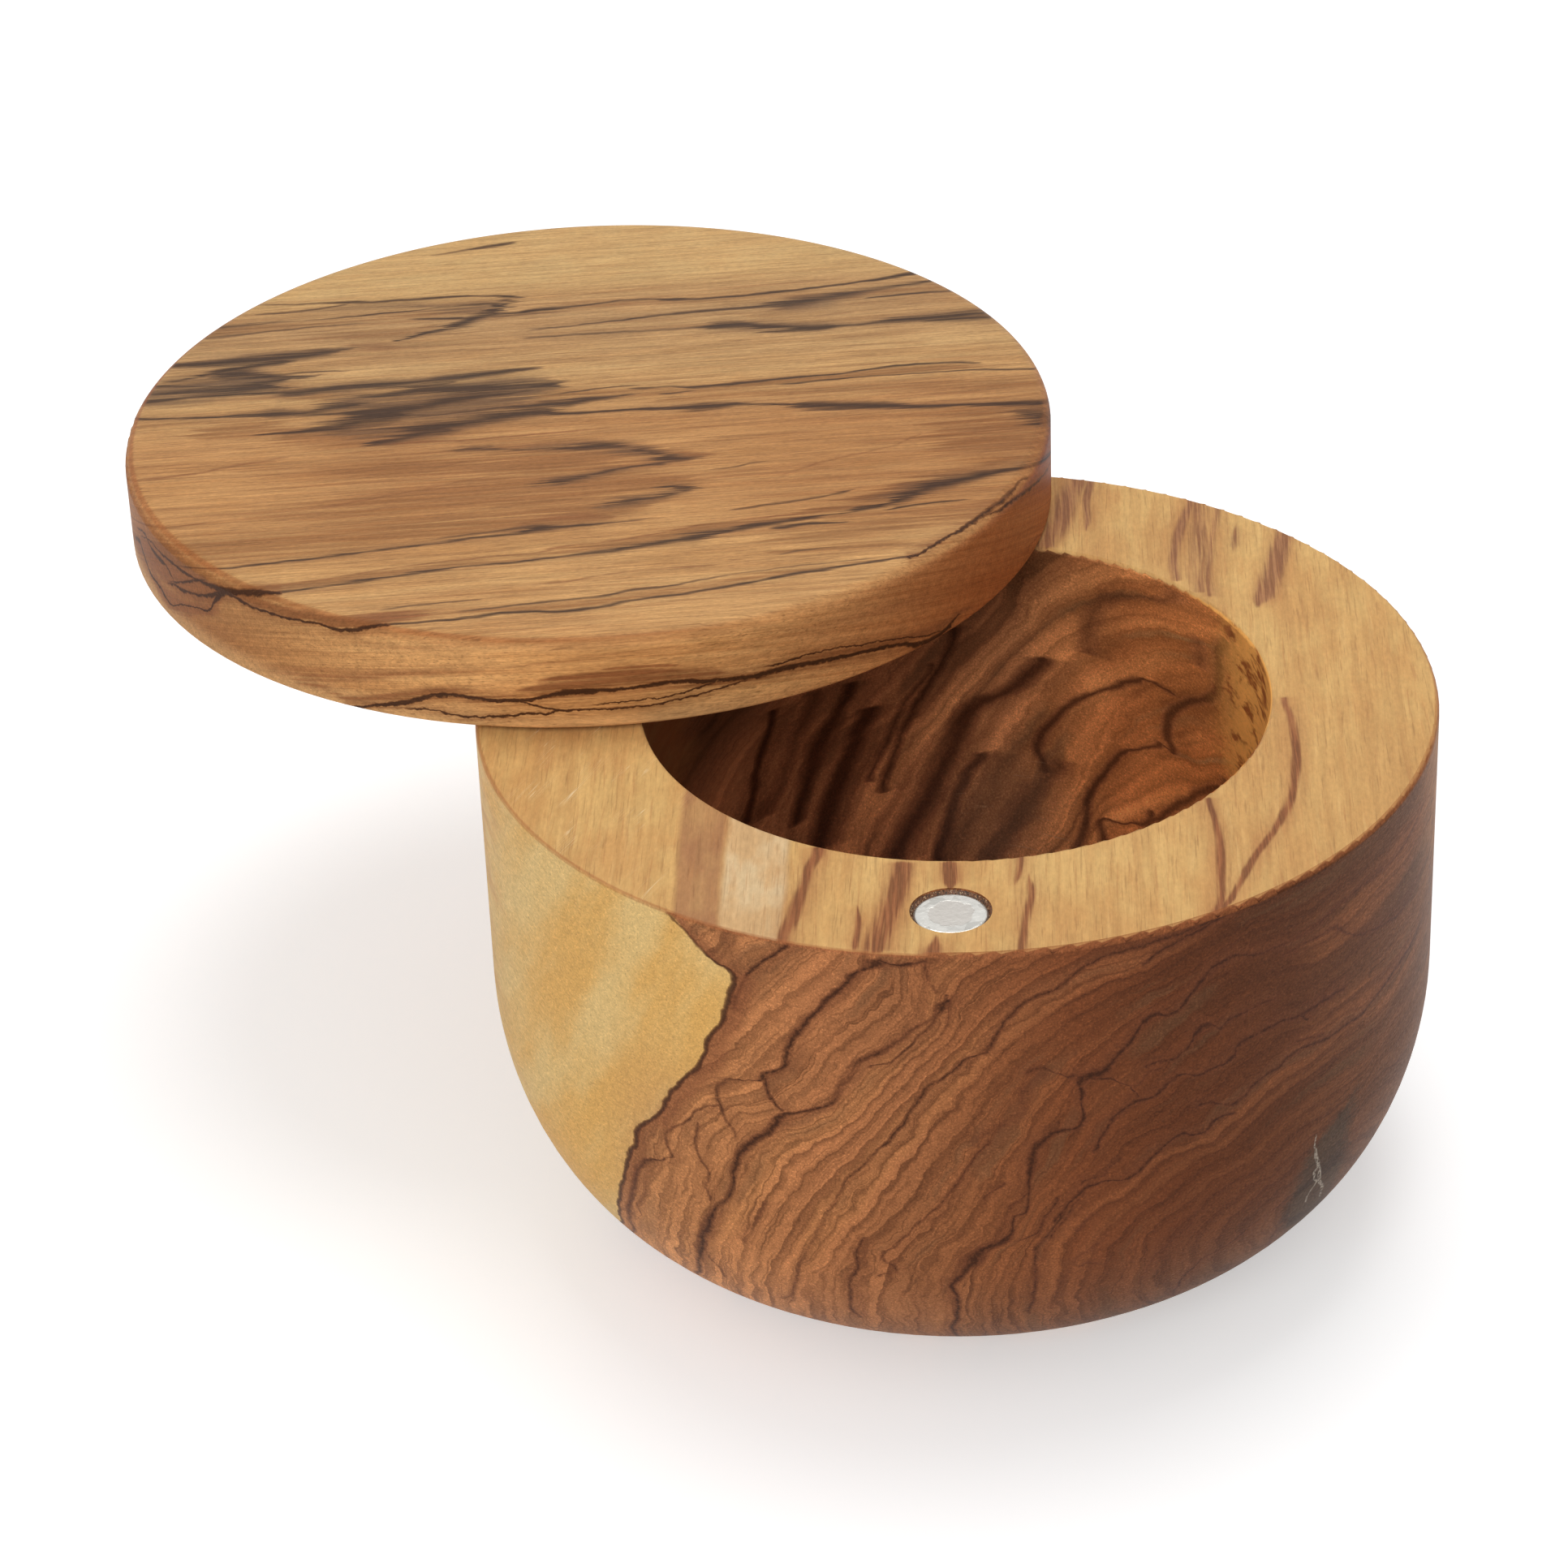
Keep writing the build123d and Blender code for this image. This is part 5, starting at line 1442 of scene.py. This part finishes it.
def lid_side_wood(w, spot, colour):
    """Lays the burnished edge and the turned side's own veins on the lid's colour."""
    facing, upward, tuft = spot.facing, spot.upward, spot.tuft
    on_side = w.fade(upward, 0.75, 0.35)
    colour = w.blend(on_side, colour, w.scaled(colour, 1.22))
    # Both ends of the side are darker end grain; the right end is darker than the left as painted
    # shade.
    right = w.times(w.fade(facing, 0.15, 0.85), on_side)
    colour = w.filtered(right, colour, srgb(196, 158, 142))
    left = w.times(w.fade(facing, -0.35, -0.9), on_side)
    colour = w.filtered(left, colour, srgb(194, 174, 160))

    jagged = w.plus(spot.even, w.line(spot.jitter, 1.6, -0.8))
    rough_sheet = Sheet(w, spot.along, jagged, ALONG_SPAN, ACROSS_SPAN)
    smooth_sheet = Sheet(w, spot.along, spot.even, ALONG_SPAN, ACROSS_SPAN)
    vein, beside = rough_sheet.draw(carried(LID_SIDE), 3.4)
    vein = w.times(vein, w.line(spot.jitter, 2.4, 0.3))
    umber = w.times(smooth_sheet.lines(carried(LID_SIDE_BROWN)), w.line(tuft, 0.8, 0.6))

    honey = w.times(w.fade(spot.depth, -8.0, -10.5), on_side, w.fade(facing, 0.45, 0.1))
    edge = w.times(w.fade(upward, 0.1, 0.5), w.fade(upward, 0.99, 0.8))
    rubbed = w.times(
        w.fade(upward, 0.6, 0.8), w.fade(upward, 0.975, 0.9), w.fade(facing, 0.2, -0.2)
    )
    return w.lay(
        colour,
        (w.times(honey, 0.6), srgb(206, 160, 108)),
        (w.times(edge, 0.35), srgb(168, 106, 60)),
        (w.times(rubbed, 0.42), srgb(150, 80, 40)),
        (
            w.fade(umber, 0.02, 0.5, 0.0, 0.82),
            w.blend(tuft, srgb(120, 72, 42), srgb(146, 90, 54)),
        ),
        (w.times(beside, w.line(tuft, 0.7, 0.3)), srgb(134, 84, 48)),
        (w.fade(vein, 0.03, 0.34, 0.0, 0.72), srgb(106, 62, 34)),
        (w.fade(vein, 0.2, 0.85, 0.0, 0.86), srgb(54, 31, 18)),
    )


def lid_wood_material(look):
    material, w, shader = new_material("olive_wood_lid", look.wood_roughness)
    spot = LidSpot(w)
    colour = w.blend(1.0, lid_face_wood(w, look, spot), lid_warmth(w, spot), "MULTIPLY")
    colour = lid_side_wood(w, spot, colour)

    grain = w.join(spot.along, spot.across, spot.depth)
    fibre = w.group("wood_fibre", Position=grain, Length=0.05, Coarse=1.1)
    dust = w.stretched_noise(grain, (1.2, 5.0, 5.0), 2.0, 0.7)
    colour = w.toned(colour, w.line(dust, 0.8, 0.6))
    colour = w.toned(colour, w.line(fibre["Lines"], 0.26, 0.87))
    colour = w.blend(w.times(fibre["Pores"], 0.42), colour, srgb(110, 72, 44))
    roughness = w.line(spot.streaky, -0.16, look.wood_roughness + 0.08)
    shader.inputs["Specular IOR Level"].default_value = look.wood_shine
    finish_surface(w, shader, colour, roughness, fibre["Height"], WOOD_RELIEF, look.grain_relief)
    return material


# ---------------------------------------------------------------- metals and glue


def nickel_material(look):
    material, w, shader = new_material("satin_nickel", look.metal_roughness)
    shader.inputs["Metallic"].default_value = 0.9
    place, _ = place_and_normal(w)
    middle = w.vector("SUBTRACT", place, BOWL_MAGNET_CENTRE)
    out = w.vector("LENGTH", w.vector("MULTIPLY", middle, (1.0, 1.0, 0.0)))
    cloud = w.noise(place, 3.0, 0.6, scale=0.9)
    facets = w.add("ShaderNodeTexVoronoi")
    w.put(facets.inputs["Vector"], place)
    facets.inputs["Scale"].default_value = 0.7
    facet = w.split(facets.outputs["Color"])[0]
    worn_edge = w.fade(w.plus(out, w.line(cloud, 1.2, -0.6)), 2.3, 2.5)
    chipped = w.blend(w.fade(facet, 0.3, 0.6), srgb(184, 182, 176), srgb(202, 200, 194))
    colour = w.lay(look.nickel, (w.fade(cloud, 0.4, 0.7), srgb(184, 179, 172)), (worn_edge, chipped))
    roughness = w.line(cloud, 0.3, look.metal_roughness - 0.15)
    height = w.plus(cloud, w.times(worn_edge, 0.3))
    finish_surface(w, shader, colour, roughness, height, relief=0.0002, strength=0.3)
    return material


def steel_material(look):
    material, w, shader = new_material("drawn_steel", look.metal_roughness)
    shader.inputs["Metallic"].default_value = 1.0
    place, _ = place_and_normal(w)
    drawn = w.stretched_noise(place, (6.0, 6.0, 0.15), 2.0, 0.6)
    colour = w.blend(drawn, look.steel, srgb(136, 138, 140))
    roughness = w.line(drawn, 0.25, look.metal_roughness - 0.12)
    finish_surface(w, shader, colour, roughness, drawn, relief=0.00005, strength=0.3)
    return material


def glue_material(look):
    material, w, shader = new_material("amber_glue", 0.4)
    place, _ = place_and_normal(w)
    lumps = w.noise(place, 3.0, 0.6, scale=1.6)
    specks = w.noise(place, 2.0, 0.7, scale=4.5)
    colour = w.lay(
        look.glue,
        (w.fade(lumps, 0.35, 0.65), srgb(128, 78, 46)),
        (w.fade(specks, 0.5, 0.6), srgb(54, 38, 28)),
        (w.fade(specks, 0.42, 0.34), srgb(206, 176, 138)),
    )
    roughness = w.line(lumps, 0.4, 0.2)
    finish_surface(w, shader, colour, roughness, lumps, relief=0.0003, strength=0.6)
    return material


def dress(node_names, material):
    """Gives CAD nodes one material on every face."""
    for name in node_names:
        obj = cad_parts[name]
        obj.data.materials.clear()
        obj.data.materials.append(material)
        for face in obj.data.polygons:
            face.material_index = 0


# ---------------------------------------------------------------- what a user may change


def colour_property(name, description, default):
    return FloatVectorProperty(
        name=name, description=description, default=default, subtype="COLOR", min=0.0, max=1.0
    )


def share_property(name, description, default, low=0.0):
    return FloatProperty(
        name=name, description=description, default=default, min=low, max=1.0, subtype="FACTOR"
    )


def power_property(name, description, default):
    return FloatProperty(
        name=name, description=description, default=default, min=0.0, unit="POWER"
    )


class KeeperLook(bpy.types.PropertyGroup):
    """Colours and finish of the keeper's own materials."""

    sapwood: colour_property("Sapwood", "Pale outer wood on the bowl", srgb(218, 184, 122))
    vein: colour_property("Vein", "Dark lines in the bowl", srgb(52, 26, 14))
    vein_stain: colour_property("Vein stain", "Soft stain beside the dark lines", srgb(112, 64, 40))
    lid_honey: colour_property("Lid honey", "Lightest wood on the lid", srgb(196, 150, 100))
    lid_tan: colour_property("Lid tan", "Middle wood on the lid", srgb(184, 136, 88))
    lid_brown: colour_property("Lid brown", "Broad bands on the lid", srgb(156, 108, 68))
    lid_dark: colour_property("Lid streak", "Darkest streaks on the lid", srgb(66, 46, 34))
    nickel: colour_property("Nickel", "The two magnets", srgb(194, 189, 182))
    steel: colour_property("Steel", "The pivot pin", srgb(176, 178, 180))
    glue: colour_property("Glue", "Ring round each magnet", srgb(110, 72, 40))
    wood_roughness: share_property("Wood roughness", "Finish of the oiled wood", 0.5, 0.05)
    wood_shine: share_property("Wood shine", "Strength of the gloss on the wood", 0.08)
    metal_roughness: share_property(
        "Metal roughness", "Finish of the magnets and the pin", 0.35, 0.05
    )
    grain_relief: share_property("Grain relief", "How far the fibres stand up", 0.25)


class KeeperStage(bpy.types.PropertyGroup):
    """Floor, light and lens."""

    floor_size: FloatProperty(
        name="Floor size", description="Side of the square floor", default=6.0,
        min=1.0, unit="LENGTH", subtype="DISTANCE",
    )
    floor_colour: colour_property("Floor", "Floor and background", (0.82, 0.82, 0.82))
    ambient: FloatProperty(
        name="Ambient", description="Light from all round", default=0.55, min=0.0, max=4.0,
    )
    top_power: power_property("Top light", "Power of the light overhead", 5.2)
    front_power: power_property("Front light", "Power of the light in front", 5.0)
    lens: FloatProperty(
        name="Lens", description="Focal length", default=111.8, min=20.0, unit="CAMERA",
    )


# ---------------------------------------------------------------- operators


class KEEPER_OT_bowl(bpy.types.Operator):
    """Gives the bowl its olive wood"""

    bl_idname = "salt_keeper.bowl"
    bl_label = "Bowl wood"

    def execute(self, context):
        dress(["bowl"], bowl_wood_material(context.scene.keeper_look))
        return {"FINISHED"}


class KEEPER_OT_lid(bpy.types.Operator):
    """Gives the lid its streaked olive wood"""

    bl_idname = "salt_keeper.lid"
    bl_label = "Lid wood"

    def execute(self, context):
        dress(["lid"], lid_wood_material(context.scene.keeper_look))
        return {"FINISHED"}


class KEEPER_OT_magnets(bpy.types.Operator):
    """Gives the magnets their nickel and their rings of glue"""

    bl_idname = "salt_keeper.magnets"
    bl_label = "Magnets and glue"

    def execute(self, context):
        look = context.scene.keeper_look
        dress(["bowl_magnet", "lid_magnet"], nickel_material(look))
        dress(["bowl_magnet_glue", "lid_magnet_glue"], glue_material(look))
        return {"FINISHED"}


class KEEPER_OT_pin(bpy.types.Operator):
    """Gives the pivot pin its steel"""

    bl_idname = "salt_keeper.pin"
    bl_label = "Pivot pin"

    def execute(self, context):
        dress(["pivot_pin"], steel_material(context.scene.keeper_look))
        return {"FINISHED"}


# How brightly the floor shines by itself, so that it comes out nearly white.
FLOOR_GLOW = 0.4

# Where the camera stands, in metres, and its own three directions.
CAMERA_PLACE = Vector((0.00927, -0.47419, 0.33612))
CAMERA_RIGHT = Vector((0.99859714, 0.0401354, -0.0345385))
CAMERA_UP = Vector((0.00884601, 0.51666008, 0.85614491))
CAMERA_AHEAD = Vector((-0.05220638, 0.85524939, -0.51558024))


def add_camera(stage):
    data = bpy.data.cameras.new("studio_camera")
    data.sensor_width = 36.0
    data.lens = stage.lens
    camera = bpy.data.objects.new("studio_camera", data)
    bpy.context.scene.collection.objects.link(camera)
    turned = Matrix((CAMERA_RIGHT, CAMERA_UP, -CAMERA_AHEAD)).transposed()
    camera.matrix_world = Matrix.Translation(CAMERA_PLACE) @ turned.to_4x4()
    bpy.context.scene.camera = camera


def add_area_light(name, place, target, size, power):
    data = bpy.data.lights.new(name, "AREA")
    data.shape = "DISK"
    data.size = size
    data.energy = power
    light = bpy.data.objects.new(name, data)
    bpy.context.scene.collection.objects.link(light)
    light.location = place
    light.rotation_euler = (Vector(target) - Vector(place)).to_track_quat("-Z", "Y").to_euler()


def seen_directly(w):
    """1 for camera, glossy and transmission rays, 0 for the rest."""
    path = w.add("ShaderNodeLightPath").outputs
    return w.most(*(path[f"Is {kind} Ray"] for kind in ("Camera", "Glossy", "Transmission")))


def add_floor(stage):
    half = stage.floor_size / 2
    mesh = bpy.data.meshes.new("floor")
    corners = [(-half, -half, 0.0), (half, -half, 0.0), (half, half, 0.0), (-half, half, 0.0)]
    mesh.from_pydata(corners, [], [(0, 1, 2, 3)])
    floor = bpy.data.objects.new("floor", mesh)
    bpy.context.scene.collection.objects.link(floor)
    material, w, shader = new_material("pale_floor", 0.9)
    shader.inputs["Base Color"].default_value = (*stage.floor_colour, 1.0)
    shader.inputs["Specular IOR Level"].default_value = 0.0
    shader.inputs["Emission Color"].default_value = WHITE
    w.put(shader.inputs["Emission Strength"], w.times(seen_directly(w), FLOOR_GLOW))
    mesh.materials.append(material)


def add_world(stage):
    world = bpy.data.worlds.new("studio")
    bpy.context.scene.world = world
    world.use_nodes = True
    world.node_tree.nodes.clear()
    w = NodeWriter(world.node_tree)
    sky = w.add("ShaderNodeBackground")
    sky.inputs["Color"].default_value = WHITE
    w.put(sky.inputs["Strength"], w.line(seen_directly(w), 1.0 - stage.ambient, stage.ambient))
    out = w.add("ShaderNodeOutputWorld")
    w.put(out.inputs["Surface"], sky.outputs[0])


class KEEPER_OT_stage(bpy.types.Operator):
    """Lays the floor and sets the lights, the world and the camera"""

    bl_idname = "salt_keeper.stage"
    bl_label = "Stage"

    def execute(self, context):
        stage = context.scene.keeper_stage
        context.scene.view_settings.view_transform = "Standard"
        add_camera(stage)
        add_area_light("top_light", (0.05, 0.30, 1.1), (0.0, 0.0, 0.05), 0.7, stage.top_power)
        add_area_light("front_light", (-0.35, -1.1, 0.55), (0.0, 0.0, 0.03), 0.9, stage.front_power)
        add_floor(stage)
        add_world(stage)
        return {"FINISHED"}


class KEEPER_PT_sidebar(bpy.types.Panel):
    """Lists the keeper's steps and settings"""

    bl_idname = "KEEPER_PT_sidebar"
    bl_label = "Salt Keeper"
    bl_space_type = "VIEW_3D"
    bl_region_type = "UI"
    bl_category = "Salt Keeper"

    def draw(self, context):
        column = self.layout.column()
        for operator in OPERATORS:
            column.operator(operator.bl_idname)
        for settings in (context.scene.keeper_look, context.scene.keeper_stage):
            for name in settings.__annotations__:
                column.prop(settings, name)


OPERATORS = (KEEPER_OT_bowl, KEEPER_OT_lid, KEEPER_OT_magnets, KEEPER_OT_pin, KEEPER_OT_stage)
CLASSES = (KeeperLook, KeeperStage, *OPERATORS, KEEPER_PT_sidebar)


def register():
    for cls in CLASSES:
        bpy.utils.register_class(cls)
    bpy.types.Scene.keeper_look = PointerProperty(type=KeeperLook)
    bpy.types.Scene.keeper_stage = PointerProperty(type=KeeperStage)


def unregister():
    del bpy.types.Scene.keeper_stage
    del bpy.types.Scene.keeper_look
    for cls in reversed(CLASSES):
        bpy.utils.unregister_class(cls)


def main():
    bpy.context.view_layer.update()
    register()
    bpy.ops.salt_keeper.stage()
    bpy.ops.salt_keeper.bowl()
    bpy.ops.salt_keeper.lid()
    bpy.ops.salt_keeper.magnets()
    bpy.ops.salt_keeper.pin()


if __name__ == "__main__":
    main()
